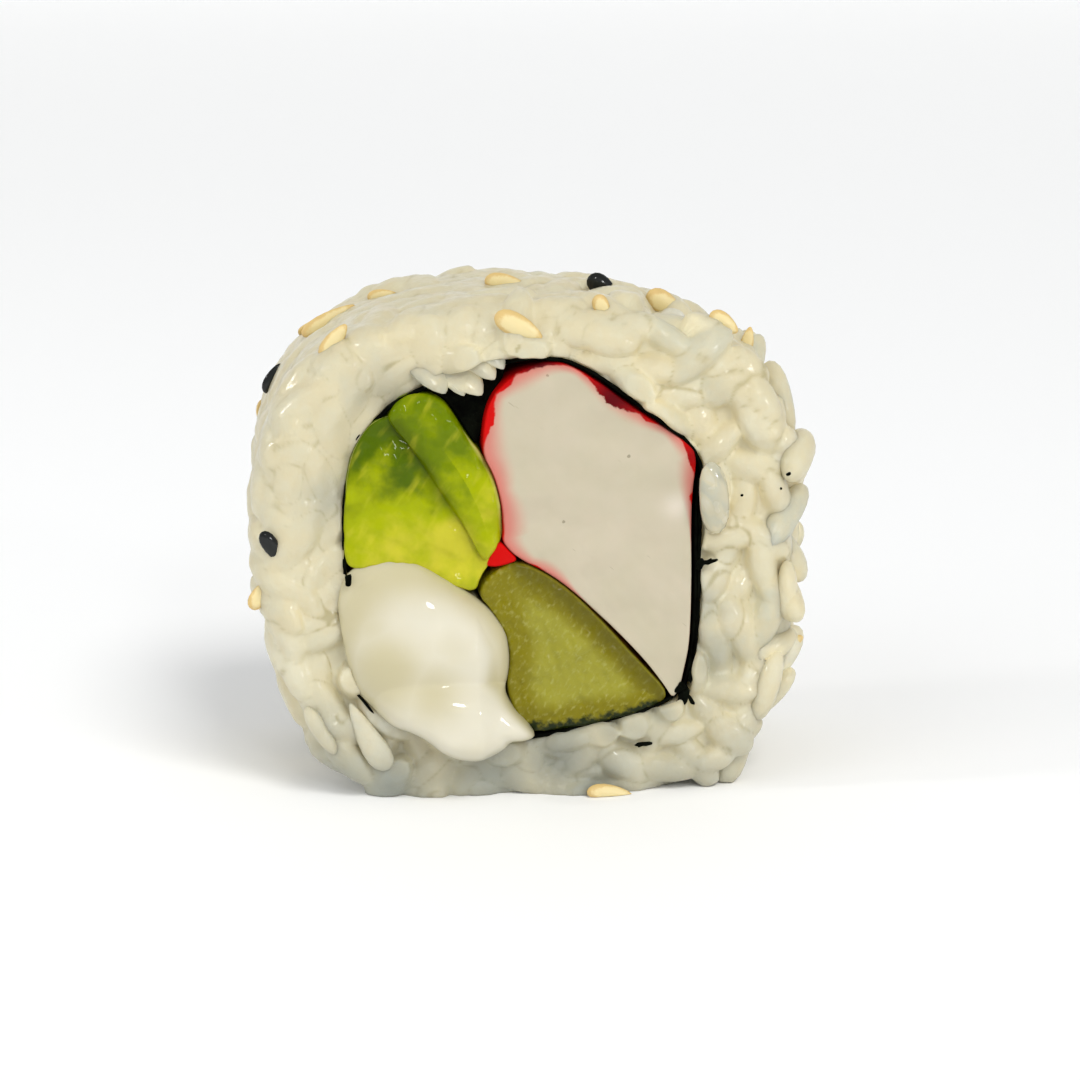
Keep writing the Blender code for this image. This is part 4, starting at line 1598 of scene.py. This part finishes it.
    def build_seeds(self) -> None:
        """The sesame seeds of both kinds: those that the photo shows, and a scatter elsewhere.

        Every fifth point of the grid takes a black seed.
        """
        _, y, z = self.points.T
        far = self.areas * self.unseen * (z > SEEDS_LOW) * (z < SEEDS_HIGH)
        far *= (y > FRONT + SEEDS_BEHIND) & (y < BACK - 0.5)
        numbers = self.pick_places(self.points, 4.0, 1200, far)[:self.seed_count]
        for finish in SEED_FINISHES:
            tan = finish.kind is SeedKind.TAN
            chosen = numbers[(numbers % 5 > 0) == tan]
            count = len(chosen)
            scattered = self.bed_on(self.points[chosen], self.normals[chosen],
                                    np.full(count, 0.1), self.dice.uniform(0.0, 0.2, count))
            scattered.halves = np.array(SEED) / 2 * self.dice.uniform(0.88, 1.08, (count, 3))
            seen = self.sighted(SEEN_TAN_SEEDS if tan else SEEN_BLACK_SEEDS, 0.5, 5.0, 0.1)
            self.build_seed_piece(scattered.joined(seen), finish)

    @staticmethod
    def build_seed_piece(bed: GrainBed, finish: SeedFinish) -> None:
        """All seeds of one kind as one piece.

        A seed is a drop: ring t has the radius (1 - t^2)^(1/2) (1 - 0.3 t), and its thickness is
        less towards the rim, which leaves a flat ridge all round.

        Args:
            bed: The seeds.
            finish: Their finish.
        """
        shape = GrainShape()
        t, turn = shape.courses()
        radius = (np.sqrt(1.0 - t ** 2) * (1.0 - 0.3 * t))[:, None]
        through = radius * np.sin(turn) * (0.55 + 0.45 * np.abs(np.sin(turn)))
        body = on_face(t[:, None], radius * np.cos(turn), through).reshape(-1, 3)
        local = np.vstack([body, [[1.0, 0.0, 0.0], [-1.0, 0.0, 0.0]]])
        edge = np.clip(np.hypot(local[:, 0], local[:, 1]), 0.0, 1.0) ** 2
        points = bed.placed(local)
        points[:, :, 2] = np.maximum(points[:, :, 2], LOWEST_SEED)
        values = {"edge": np.tile(edge, len(points))}
        name = finish.name.replace(" ", "_") + "_seeds"
        mesh = make_mesh(name, points.reshape(-1, 3), *shape.faces(len(points)), values)
        make_piece(mesh, finish.material(), "cooked_rice")

    def build(self) -> None:
        """Makes the ring, the loose grains and the seeds."""
        material = RiceFinish().material()
        self.build_ring(material)
        self.build_loose(material)
        self.build_hanging(material)
        self.build_seeds()


# A line of sight misses the rice where it meets it this far behind the cut face and this far off
# in height. A grain or seed that is seen there lies a little behind the cut face.
FAR_BEHIND = 8.0
FAR_ABOVE = 3.0
FREE_DEPTH = 2.2
LOWEST_SEED = 0.05

# Loose grains are scattered between two heights. The photo shows none from x = -16 to 15 in the
# part that it sees, and left of it there are some only in the back half.
LOOSE_LOW = 2.6
LOOSE_HIGH = 34.0
LOOSE_RIGHT = 15.0
LOOSE_LEFT = -16.0

# Sesame seeds are scattered between two heights, and only this far behind the front.
SEEDS_LOW = 3.0
SEEDS_HIGH = 37.0
SEEDS_BEHIND = 7.0

# The grains that hang over the gap above the avocado, from left to right.
HANGING_THICKNESS = 0.9
HANGING_GRAINS = [
    Sighting(-9.0, 36.6, -58.0, 6.9, 3.2, -1.5, 0.3, -23.0),
    Sighting(-7.2, 36.3, -63.0, 6.4, 2.2, -1.65, 0.35, -23.0),
    Sighting(-6.4, 36.2, -52.0, 6.9, 3.2, -1.5, 0.5, -23.0),
    Sighting(-4.9, 37.0, -54.0, 5.6, 2.5, -1.4, 0.6, -24.0),
    Sighting(-4.0, 37.8, -54.0, 5.4, 2.4, -1.4, 0.75, -26.0),
]

# A grain below the cream that is narrow above and wide below, and a wet glassy one by the nori.
SPOON_GRAIN = Sighting(-13.7, 5.4, -60.0, 6.4, 1.9, 0.3, 0.85)
GLASSY_GRAIN = Sighting(14.5, 25.0, 97.0, 6.2, 2.5, 0.7, 0.2)

# Grains that can be told apart on the front, clockwise from the gap above the avocado.
SEEN_GRAINS = [
    Sighting(-11.0, 35.2, 38.0, 5.4, 1.9, 0.45, 0.9),
    Sighting(7.1, 40.6, 80.0, 5.0, 3.4, 0.0, 0.6),
    Sighting(6.1, 38.0, -10.0, 5.2, 3.0, 0.0, 0.6),
    Sighting(13.7, 39.8, 100.0, 4.2, 2.8, 0.2, 0.6),
    Sighting(9.7, 35.4, -5.0, 4.8, 2.4, 0.25, 0.65),
    Sighting(11.4, 33.3, -8.0, 5.6, 2.3, 0.6, 0.65),
    Sighting(17.5, 35.6, 15.0, 4.6, 2.9, 0.35, 0.6),
    Sighting(18.5, 32.7, -60.0, 5.0, 3.0, 0.1, 0.55),
    Sighting(20.7, 28.7, -70.0, 4.6, 2.9, 0.2, 0.75),
    Sighting(15.8, 21.2, 80.0, 4.8, 2.3, 0.35, 0.7),
    Sighting(14.7, 17.9, 72.0, 3.9, 2.7, 0.5, 0.75),
    Sighting(16.2, 14.8, 100.0, 4.0, 2.5, 0.2, 0.8),
    Sighting(20.9, 17.1, 32.0, 4.8, 2.1, 0.4, 0.65, 6.0, True),
    Sighting(17.6, 9.3, 62.0, 3.4, 1.8, 0.35, 0.95),
    Sighting(19.4, 8.9, 85.0, 6.3, 2.7, 0.5, 0.65, 0.0, True),
    Sighting(16.3, 4.8, -40.0, 4.8, 3.1, 0.35, 0.75),
    Sighting(15.1, 2.7, 8.0, 3.8, 2.3, 0.3, 0.85),
    Sighting(11.4, 5.0, 10.0, 5.2, 2.1, 0.35, 0.75),
    Sighting(5.9, 3.7, -12.0, 6.0, 2.1, 0.45, 0.75),
    Sighting(3.6, 2.2, -20.0, 4.2, 2.0, 0.5, 0.75),
    Sighting(1.8, 4.2, -20.0, 4.4, 2.3, 0.35, 0.7),
    Sighting(-1.0, 1.5, -20.0, 4.8, 2.4, 0.4, 0.5),
    Sighting(-5.4, 1.9, 60.0, 4.2, 2.3, 0.4, 0.6),
    Sighting(-8.7, 2.6, 48.0, 4.7, 2.5, 0.4, 0.6),
    Sighting(-11.5, 1.8, 0.0, 3.8, 2.2, 0.3, 0.3),
    Sighting(-15.2, 3.3, -45.0, 5.2, 2.7, 0.2, 0.4),
    Sighting(-18.3, 7.3, -38.0, 5.2, 1.7, 0.35, 0.75),
    Sighting(-18.9, 8.6, -30.0, 5.0, 1.8, 0.3, 0.7),
    Sighting(-17.7, 5.9, -30.0, 4.6, 1.8, 0.45, 0.7, 0.0, True),
    Sighting(-19.8, 10.9, -42.0, 5.4, 2.8, 0.15, 0.75),
    Sighting(-20.3, 14.1, -60.0, 5.4, 2.5, 0.2, 0.8),
    Sighting(-17.9, 16.4, -42.0, 6.4, 2.1, 0.2, 0.6),
]

SEEN_TAN_SEEDS = [
    Sighting(-16.5, 39.8, 28.0, 5.2, 1.5, 0.1),
    Sighting(-16.1, 38.1, 55.0, 3.5, 1.5, 0.1),
    Sighting(-12.2, 41.7, 5.0, 2.6, 1.2, 0.1),
    Sighting(-2.4, 42.6, -10.0, 3.5, 1.6, 0.0),
    Sighting(-1.3, 39.1, -28.0, 4.3, 1.9, 0.05),
    Sighting(10.4, 40.9, -32.0, 3.6, 1.9, 0.25),
    Sighting(5.4, 40.5, -70.0, 2.4, 1.3, 0.0),
    Sighting(15.3, 39.2, -35.0, 2.8, 1.5, 0.0),
    Sighting(17.2, 37.6, 80.0, 2.7, 1.1, 0.0),
    Sighting(20.9, 12.4, 30.0, 3.0, 1.5, 0.1),
    Sighting(5.8, 0.35, -8.0, 3.9, 1.5, 1.5),
    Sighting(-22.4, 17.4, 60.0, 2.6, 1.4, 0.0),
]

SEEN_BLACK_SEEDS = [
    Sighting(-21.0, 35.2, 62.0, 2.9, 1.3, 0.2),
    Sighting(-21.3, 21.4, -58.0, 3.2, 1.3, 0.15),
    Sighting(5.4, 42.3, -35.0, 3.0, 1.7, 0.2),
]


def nori_turns(count: int) -> tuple[Array, Array, Array]:
    """The nori's two faces as open lines, and the outline of the hole in the rice round it.

    The nori starts at the upper right, runs once round the fillings, climbs over its own beginning
    in a twelfth of a turn and overlaps itself down the right side for a sixth of one.

    Args:
        count: Points in one turn.

    Returns:
        The outer face, the inner face and the hole.
    """
    line = drawn_round(NORI_LINE, count)
    normal = outward_normals(line)
    overlap, climb = count // 6, count // 12
    step = np.arange(count + overlap)
    lift = NORI_STEP * np.clip((step - (count - climb)) / climb, 0.0, 1.0)
    middle = line[step % count] + normal[step % count] * lift[:, None]
    half = normal[step % count] * NORI_THICKNESS / 2
    fade = np.clip((overlap + climb - np.arange(count)) / climb, 0.0, 1.0)
    highest = np.maximum(lift[:count], NORI_STEP * fade)
    snugger = smooth_step(-line[:, 0], 6.0, 12.0) + smooth_step(-line[:, 1], -9.0, -6.5)
    snug = NORI_SNUG + NORI_SNUGGER * snugger - 0.1 * waves(line, 5.0, 14)
    hole = line + normal * (NORI_THICKNESS / 2 - snug + highest)[:, None]
    return middle + half, middle - half, hole


@dataclass
class Nori:
    """The sheet of nori, its fold in the gap, and the crumbs of it on the cut face."""

    # Points in one turn, and along the roll.
    count: int = 420
    rows: int = 20

    # How far the front edge lies behind the cut face, how much further at the left, and in
    # front of the dark gap, and how far it wavers.
    setback: float = 0.25
    left_setback: float = 0.6
    gap: Spot = Spot(-5.5, 35.5, 3.6, 1.1)
    fray: float = 0.15

    # Height of the waves in the sheet, and how far it ends in front of the back.
    ripple: float = 0.07
    back: float = 0.3

    def build_sheet(self, material: Material) -> None:
        """The sheet: a loop round its thickness from front to back, carried along its line.

        Args:
            material: Its finish.
        """
        outer, inner, _ = nori_turns(self.count)
        columns = len(outer)
        edge = FRONT + self.setback + self.gap.strength(outer[:, 0], outer[:, 1])
        edge += self.fray * waves(np.column_stack([outer, inner]), 3.0, 8, 20)
        edge += self.left_setback * smooth_step(-outer[:, 0], 8.0, 14.0)
        share = np.linspace(0.0, 1.0, self.rows) ** 1.4
        y = edge[:, None] + share * (BACK - self.back - edge)[:, None]
        away = unit(outer - inner)[:, None, :]
        faces = []
        for line, order in ((outer, 1), (inner, -1)):
            face = on_face(line[:, :1], y, line[:, 1:])
            wave = self.ripple * waves(face, 5.0, 9) * smooth_step(y, FRONT, FRONT + 3.0)
            face = face + on_face(away[..., 0] * wave, 0.0, away[..., 1] * wave)
            faces.append(face[:, ::order])
        loop = np.concatenate(faces, axis=1)
        around = 2 * self.rows
        near = np.arange(self.rows - 1)
        far = around - 1 - near
        strip = np.column_stack([near, near + 1, far - 1, far])
        last = strip[:, ::-1] + (columns - 1) * around
        quads = np.vstack([grid_quads(columns, around, False, True), strip, last])
        mesh = make_mesh("nori_sheet", loop.reshape(-1, 3), quads, NO_TRIANGLES, {})
        make_piece(mesh, material, "nori", "nori")

    def build_crumbs(self, material: Material) -> None:
        """Torn bits of nori and dark specks: small flat pebbles of uneven outline.

        Args:
            material: Their finish.
        """
        places = np.array([(c.x, FRONT - c.lift, c.z) for c in SEEN_CRUMBS])
        dice = np.random.default_rng(31)
        normals = unit(np.array((0.0, -1.0, 0.0)) + dice.normal(0.0, 0.2, places.shape))
        axes = frames_at(normals, headings(SEEN_CRUMBS), np.zeros(len(places)), dice)
        sizes = np.array([(c.length, c.width, max(0.35 * c.width, 0.1)) for c in SEEN_CRUMBS])
        bed = GrainBed(places, axes, sizes / 2, np.zeros(len(places)))
        shape = GrainShape(3.0, segments=10, rings=7)
        points = shape.points(bed, dice)
        points += (points - places[:, None, :]) * 0.12 * waves(points, 0.6, 12)[..., None]
        mesh = make_mesh("nori_crumbs", points.reshape(-1, 3), *shape.faces(len(points)), {})
        make_piece(mesh, material, "nori")

    def build(self) -> None:
        """Makes the sheet, the fold and the crumbs."""
        material = NoriFinish().material()
        self.build_sheet(material)
        self.build_crumbs(material)
        Filling("nori_fold", FOLD_OUTLINE, 1.3, 1.3, 0.2, "nori", 0.0).build(material)


SEEN_CRUMBS = [
    Sighting(12.3, 8.2, 70.0, 1.7, 0.9, 0.0), Sighting(12.0, 8.9, 40.0, 1.2, 0.7, 0.05),
    Sighting(12.9, 9.9, 80.0, 1.2, 0.5, 0.15), Sighting(14.1, 19.6, 10.0, 1.5, 0.45, 0.5),
    Sighting(13.5, 19.4, 60.0, 1.0, 0.7, 0.3), Sighting(-15.2, 18.6, 80.0, 1.1, 0.6, 0.3),
    Sighting(-14.2, 8.6, -52.0, 2.9, 0.28, 0.3), Sighting(-14.3, 30.3, 60.0, 0.6, 0.14, 0.1),
    Sighting(8.9, 4.2, 8.0, 1.5, 0.45, 0.2), Sighting(20.6, 26.9, 20.0, 0.38, 0.26, 0.9),
    Sighting(16.8, 25.2, 0.0, 0.25, 0.22, 0.9), Sighting(20.0, 25.7, 0.0, 0.2, 0.2, 0.9),
    Sighting(10.5, 32.2, 0.0, 0.22, 0.2, 0.9), Sighting(12.9, 7.9, -60.0, 0.9, 0.35, 0.2),
    Sighting(11.8, 7.3, -80.0, 1.3, 0.12, 0.3),
]


@dataclass
class Filling:
    """A filling that runs through the roll: cut faces with rounded rims, and a side between them.

    Row by row from the middle of the front: the outline drawn in towards its middle, the rim as a
    quarter circle, the side, and the same behind. Behind the rims the side swells against its
    neighbours, as soft food does.
    """

    # The piece's name and its outline on the cut face; how far its cut faces lie inside the
    # roll's, the radius of its rims, and the record's material slot.
    name: str
    outline: list
    front: float
    back: float
    rim: float
    slot: str

    # How far it stands back from the lines where fillings meet, how far its side swells
    # behind the rims, and the solid that it replaces.
    inset: float = 0.15
    swell: float = 0.0
    node: str = ""

    # Points round the outline, rings of them on a cut face, a rim and the side, and how far
    # behind a rim the swell takes to reach its height.
    columns: int = 220
    rings: int = 44
    rim_rings: int = 6
    side_rings: int = 14
    ease: float = 2.5

    # The low waves of the cut faces: the height, length and seed of each.
    BUMPS = ((0.04, 3.0, 4),)

    def relief(self, x: Array, z: Array) -> Array:
        """How far the cut face stands out at each point: its waves, added up."""
        flat = np.stack([x, z], -1)
        return sum(size * waves(flat, length, seed) for size, length, seed in self.BUMPS)

    def values(self, points: Array, line: Array) -> Values:
        """The numbers that the finish reads at each point."""
        return {}

    def rim_distance(self, points: Array, line: Array) -> tuple[Array, Array]:
        """How far each point is from the outline, seen along the roll.

        Args:
            points: The points.
            line: The outline.

        Returns:
            The distances, and the nearest place on the outline for each point.
        """
        fine = spread(line, 3 * len(line))
        nearest = np.concatenate([
            np.argmin(np.sum((part[:, None, ::2] - fine) ** 2, axis=-1), axis=1)
            for part in np.array_split(points, 30)
        ])
        return np.linalg.norm(points[:, ::2] - fine[nearest], axis=1), fine[nearest]

    def grid(self) -> tuple[Array, Array]:
        """The points, row by row.

        Returns:
            The rows of points from the front's middle to the back's, and the outline.
        """
        line = drawn_round(self.outline, self.columns, self.inset)
        middle = line.mean(axis=0)
        normal = unit(line - middle)
        inner = line - normal * self.rim
        share = np.linspace(0.0, 1.0, self.rings + 1)[1:] ** 0.75
        turn = np.linspace(0.0, np.pi / 2, self.rim_rings + 1)[1:]
        front, back = FRONT + self.front, BACK - self.back
        near, far = front + self.rim, back - self.rim
        cap = middle + (inner - middle) * share[:, None, None]
        bend = inner + normal * (self.rim * np.sin(turn))[:, None, None]
        side_y = np.linspace(near, far, self.side_rings + 2)[1:-1]
        swell = self.swell * smooth_step(side_y, near, near + self.ease)
        swell *= smooth_step(-side_y, -far, -(far - self.ease))
        side = line + normal * swell[:, None, None]
        flat = np.concatenate([cap, bend, side, bend[::-1], cap[::-1]])
        x, z = flat[..., 0], flat[..., 1]
        depth = np.concatenate([0.0 * share, self.rim * (1 - np.cos(turn))])
        y = np.concatenate([front + depth, side_y, back - depth[::-1]])[:, None]
        at_front = 1.0 - smooth_step(y, front + 0.4 * self.rim, near + 0.3)
        at_back = smooth_step(y, far - 0.3, back - 0.4 * self.rim)
        return on_face(x, y + self.relief(x, z) * (at_back - at_front), z), line

    def build(self, material: Material) -> bpy.types.Object:
        """Makes the piece.

        Args:
            material: Its finish.

        Returns:
            The piece.
        """
        grid, line = self.grid()
        points = np.vstack([grid.reshape(-1, 3), grid[0].mean(axis=0), grid[-1].mean(axis=0)])
        faces = capped_tube(*grid.shape[:2])
        mesh = make_mesh(self.name, points, *faces, self.values(points, line))
        return make_piece(mesh, material, self.slot, *([self.node] if self.node else []))


class CrabStick(Filling):
    """The white stick of fish paste, with what shows of its red skin."""

    BUMPS = ((0.06, 6.0, 41), (0.008, 1.6, 42))

    # Where red skin shows at the rim: its place, how far it reaches along the rim and its width.
    SKIN = [
        Spot(-3.9, 31.6, 1.7, 0.75), Spot(-2.6, 34.6, 0.9, 0.5), Spot(0.4, 36.0, 1.7, 0.42),
        Spot(6.4, 33.2, 2.1, 0.95), Spot(9.0, 31.2, 0.7, 0.55), Spot(13.0, 28.4, 1.1, 0.95),
        Spot(12.7, 24.9, 0.45, 0.4), Spot(-3.0, 25.0, 3.4, 0.07), Spot(-2.6, 22.0, 1.2, 0.12),
        Spot(0.2, 19.4, 0.8, 0.18),
    ]
    # Where the red skin is painted dark as shade, along the upper rim.
    DARK = [Spot(0.4, 36.0, 2.2, 1.0), Spot(6.4, 33.2, 2.6, 1.0), Spot(13.0, 28.4, 1.2, 0.6)]
    TINT = [
        Spot(-3.9, 29.0, 5.5, 2.3), Spot(-2.4, 23.0, 4.0, 2.3), Spot(-1.0, 35.6, 4.0, 1.8),
        Spot(7.0, 32.8, 4.5, 1.6), Spot(12.8, 27.5, 3.5, 1.8), Spot(1.0, 19.0, 2.5, 1.2),
    ]

    def values(self, points: Array, line: Array) -> Values:
        """The distance to the rim, and the width of skin, its painted shade and the pink tint there.

        Args:
            points: The piece's points.
            line: Its outline.

        Returns:
            One number for each point under each name.
        """
        distance, nearest = self.rim_distance(points, line)
        x, z = nearest[:, 0], nearest[:, 1]
        behind = smooth_step(points[:, 1], FRONT + 0.3, FRONT + 0.8)
        behind *= smooth_step(-points[:, 1], -(BACK - 0.3), -(BACK - 0.8))
        return {
            "rim": distance,
            "skin": strongest(self.SKIN, x, z) * (1.0 - behind) + 0.5 * behind,
            "dark": strongest(self.DARK, x, z),
            "tint": strongest(self.TINT, x, z),
            "patch": Spot(11.6, 24.2, 1.0, 1.0).strength(points[:, 0], points[:, 2]),
        }


class Avocado(Filling):
    """A slice of avocado, which dips towards the seam between the two slices."""

    BUMPS = ((0.1, 5.0, 51), (0.035, 1.5, 52))

    def relief(self, x: Array, z: Array) -> Array:
        """Low waves across the slice, and a dip along the seam."""
        return super().relief(x, z) - 0.2 * self.seam(x, z)

    @staticmethod
    def seam(x: Array, z: Array) -> Array:
        """The seam between the slices: exp(-(distance to the seam / 0.75)^2).

        Args:
            x: Places across the roll.
            z: Their heights.

        Returns:
            1 on the seam, fading out within a millimetre.
        """
        seam = soften(np.array(AVOCADO_SEAM + AVOCADO_SEAM[-2:0:-1]), 2)
        line = np.vstack([seam, seam[:1]])
        start, course = line[:-1], np.diff(line, axis=0)
        away = np.stack([x, z], -1)[..., None, :] - start
        share = np.sum(away * course, -1) / np.maximum(np.sum(course ** 2, -1), 1e-9)
        share = np.clip(share, 0.0, 1.0)
        distance = np.min(np.linalg.norm(away - share[..., None] * course, axis=-1), axis=-1)
        return np.exp(-(distance / 0.75) ** 2)

    def values(self, points: Array, line: Array) -> Values:
        """How ripe the flesh is, the shade of the seam, and the pale rim by the crab stick.

        Args:
            points: The piece's points.
            line: Its outline.

        Returns:
            One number for each point under each name.
        """
        distance, nearest = self.rim_distance(points, line)
        x, z = points[:, 0], points[:, 2]
        low = 1.0 - smooth_step(z, 18.5, 30.0)
        high = smooth_step(z, 26.0, 29.5) * smooth_step(-x, 10.5, 12.0)
        by_stick = smooth_step(nearest[:, 0], -6.0, -4.2) * smooth_step(nearest[:, 1], 21.0, 23.0)
        side = smooth_step(points[:, 1], FRONT + 0.8, FRONT + 1.8) * (points[:, 1] < BACK - 1.0)
        inside = smooth_step(distance, 0.4, 3.0)
        return {
            "ripe": 0.9 * low - 0.14 * high + 0.25 * by_stick + 0.15 * inside,
            "seam": self.seam(x, z) * (1.0 - 0.6 * low),
            "rim": distance + side,
            "pale_rim": 0.02 + 0.4 * by_stick,
        }


class Cucumber(Filling):
    """The wedge of cucumber, with its peel below."""

    BUMPS = ((0.12, 4.0, 61), (0.03, 1.3, 62))

    def values(self, points: Array, line: Array) -> Values:
        """How far each point is from the peel, the rim and the pale core.

        Args:
            points: The piece's points.
            line: Its outline.

        Returns:
            One number for each point under each name.
        """
        distance, nearest = self.rim_distance(points, line)
        x, z = nearest[:, 0], nearest[:, 1]
        bottom = (1.0 - smooth_step(z, 7.0, 8.2)) * smooth_step(x, -1.6, -0.4)
        tip = smooth_step(points[:, 2], 14.0, 18.5)
        return {
            "rim": distance + 2.5 * (1.0 - smooth_step(x + z, 15.5, 19.0)),
            "core": smooth_step(distance, 0.6, 3.4) * (1.0 - 0.7 * tip),
            "peel": bottom * (1.0 - smooth_step(distance, 0.1, 1.7)),
        }


@dataclass
class Cream:
    """The soft cream: it runs through the roll and swells out of the front in two lobes.

    In each direction from its middle, the front is drawn from the middle to the blob's outline,
    which rounds over like a drop. Behind it, the cream draws in to its outline between the other
    fillings, and runs to the back.
    """

    # The point (x, z) that the directions start from, how many there are, and rings of
    # points on the front.
    middle: tuple[float, float] = (-8.0, 11.0)
    columns: int = 260
    rings: int = 64

    # How far the blob's edge lies in front of the cut face, the blob's least height inside
    # it, where the cream has drawn in behind it, and how far before the back its side ends.
    edge: float = 0.1
    thickness: float = 0.7
    tuck: float = 1.4
    back: float = 0.3

    # How far the lower lobe is turned down to the right, in degrees.
    tilt: float = 12.0

    def height(self, x: Array, z: Array) -> Array:
        """The two lobes: the smooth maximum of two domes, the lower one longer and tilted.

        A dome is a power of 1 - (u / length)^2 - (v / width)^2, with u and v from its middle.

        Args:
            x: Places across the roll.
            z: Their heights.

        Returns:
            How far the cream stands out there.
        """
        upper = np.clip(1.0 - ((x + 8.6) / 7.6) ** 2 - ((z - 13.4) / 6.8) ** 2, 0.0, 1.0)
        turn = math.radians(self.tilt)
        along = (x + 6.2) * math.cos(turn) - (z - 6.8) * math.sin(turn)
        over = (x + 6.2) * math.sin(turn) + (z - 6.8) * math.cos(turn)
        lower = np.clip(1.0 - (along / 7.4) ** 2 - (over / 3.8) ** 2, 0.0, 1.0)
        return smooth_max(2.2 * upper ** 0.85, 3.0 * lower ** 0.45, 0.2)

    def rim_depth(self, x: Array, z: Array) -> Array:
        """Where the blob's edge lies along y: it hangs forward below, and is drawn in above.

        Args:
            x: Places across the roll.
            z: Their heights.

        Returns:
            The y of the edge there.
        """
        hang = smooth_step(-z, -7.5, -4.5)
        pressed = smooth_step(z, 12.0, 16.0) + smooth_step(x, -5.0, -3.0)
        return FRONT - self.edge - 0.75 * hang + 0.7 * np.minimum(pressed, 1.0)

    def build(self, material: Material) -> None:
        """Makes the piece: the front, the tuck behind its edge, the side and the back.

        Args:
            material: Its finish.
        """
        centre = np.array(self.middle)
        angles = np.linspace(-np.pi, np.pi, self.columns, endpoint=False)
        course = np.stack([np.cos(angles), np.sin(angles)], -1)
        blob = polar_reach(soften(CREAM_BLOB, 3), centre, angles)
        body = polar_reach(drawn_round(CREAM_OUTLINE, 400, -0.1), centre, angles)
        body = np.minimum(body, blob - 0.05)
        share = np.sin(np.linspace(0.0, np.pi / 2, self.rings + 1)[1:])[:, None]
        tuck = np.linspace(0.0, 1.0, 9)[1:, None]
        close = np.linspace(1.0, 0.0, 14)[1:-1, None]
        run = np.linspace(FRONT + self.tuck, BACK - self.back, 14)[1:, None]
        reach = [
            share * blob,
            blob + (body - blob) * smooth_step(tuck, 0.0, 0.8),
            body + 0.0 * run,
            close * body * 0.99,
        ]
        flat = [centre + distance[..., None] * course for distance in reach]
        x, z = flat[0][..., 0], flat[0][..., 1]
        rim = self.rim_depth(x, z)
        rise = np.sqrt(np.clip(1.0 - share ** 7, 0.0, 1.0))
        depth = [
            rim - (self.thickness + self.height(x, z)) * rise,
            rim[-1] + (FRONT + self.tuck - rim[-1]) * tuck,
            run,
            BACK - 0.05 * waves(flat[3], 5.0, 71),
        ]
        grid = np.concatenate([on_face(f[..., 0], y, f[..., 1]) for f, y in zip(flat, depth)])
        peak = self.thickness + self.height(*centre[:, None])[0]
        poles = [(centre[0], rim[0, 0] - peak, centre[1]), (centre[0], BACK, centre[1])]
        points = np.vstack([grid.reshape(-1, 3), poles])
        thin = 0.8 * (1.0 - smooth_step(FRONT - points[:, 1], 0.5, 2.6))
        # Painted shade on the cream's left and in the fold between its lobes.
        thin = np.maximum(thin, strongest(CREAM_SHADE, points[:, 0], points[:, 2]))
        faces = capped_tube(len(grid), self.columns)
        make_piece(make_mesh("cream_swirl", points, *faces, {"thin": thin}), material,
                   "soft_cream", "cream")


class RedScrap(Filling):
    """The scrap of red skin where the avocado, the cucumber and the crab stick meet."""

    def values(self, points: Array, line: Array) -> Values:
        """Skin wider than the piece, without painted shade or tint."""
        none = np.zeros(len(points))
        return {"rim": none, "skin": none + 3.0, "dark": none, "tint": none, "patch": none}


def main() -> None:
    """Builds the studio and the roll."""
    logging.basicConfig(level=logging.INFO, format="%(message)s")
    make_mottle()
    make_moisture()
    studio = Studio()
    studio.build()
    Rice(studio).build()
    Nori().build()
    stick = StickFinish().material()
    CrabStick("crab_stick_slice", STICK_OUTLINE, 0.0, 0.0, 0.25, "crab_stick", 0.1,
              swell=0.2, node="crab_stick").build(stick)
    RedScrap("skin_scrap", SCRAP_OUTLINE, 0.05, 18.0, 0.25, "crab_stick", 0.0,
             columns=80, rings=10).build(stick)
    left = AvocadoFinish("avocado flesh left")
    Avocado("avocado_slice_left", AVOCADO_LEFT_OUTLINE, 0.4, 0.3, 0.28, "avocado", 0.0,
            swell=0.25, node="avocado_left").build(left.material())
    right = AvocadoFinish("avocado flesh right", green=srgb(98, 118, 0))
    Avocado("avocado_slice_right", AVOCADO_RIGHT_OUTLINE, 0.0, 0.0, 0.8, "avocado", -0.05,
            swell=0.2, node="avocado_right").build(right.material())
    Cucumber("cucumber_wedge", CUCUMBER_OUTLINE, 0.0, 0.0, 0.35, "cucumber", 0.03,
             swell=0.2, node="cucumber").build(CucumberFinish().material())
    Cream().build(CreamFinish().material())


if __name__ == "__main__":
    main()
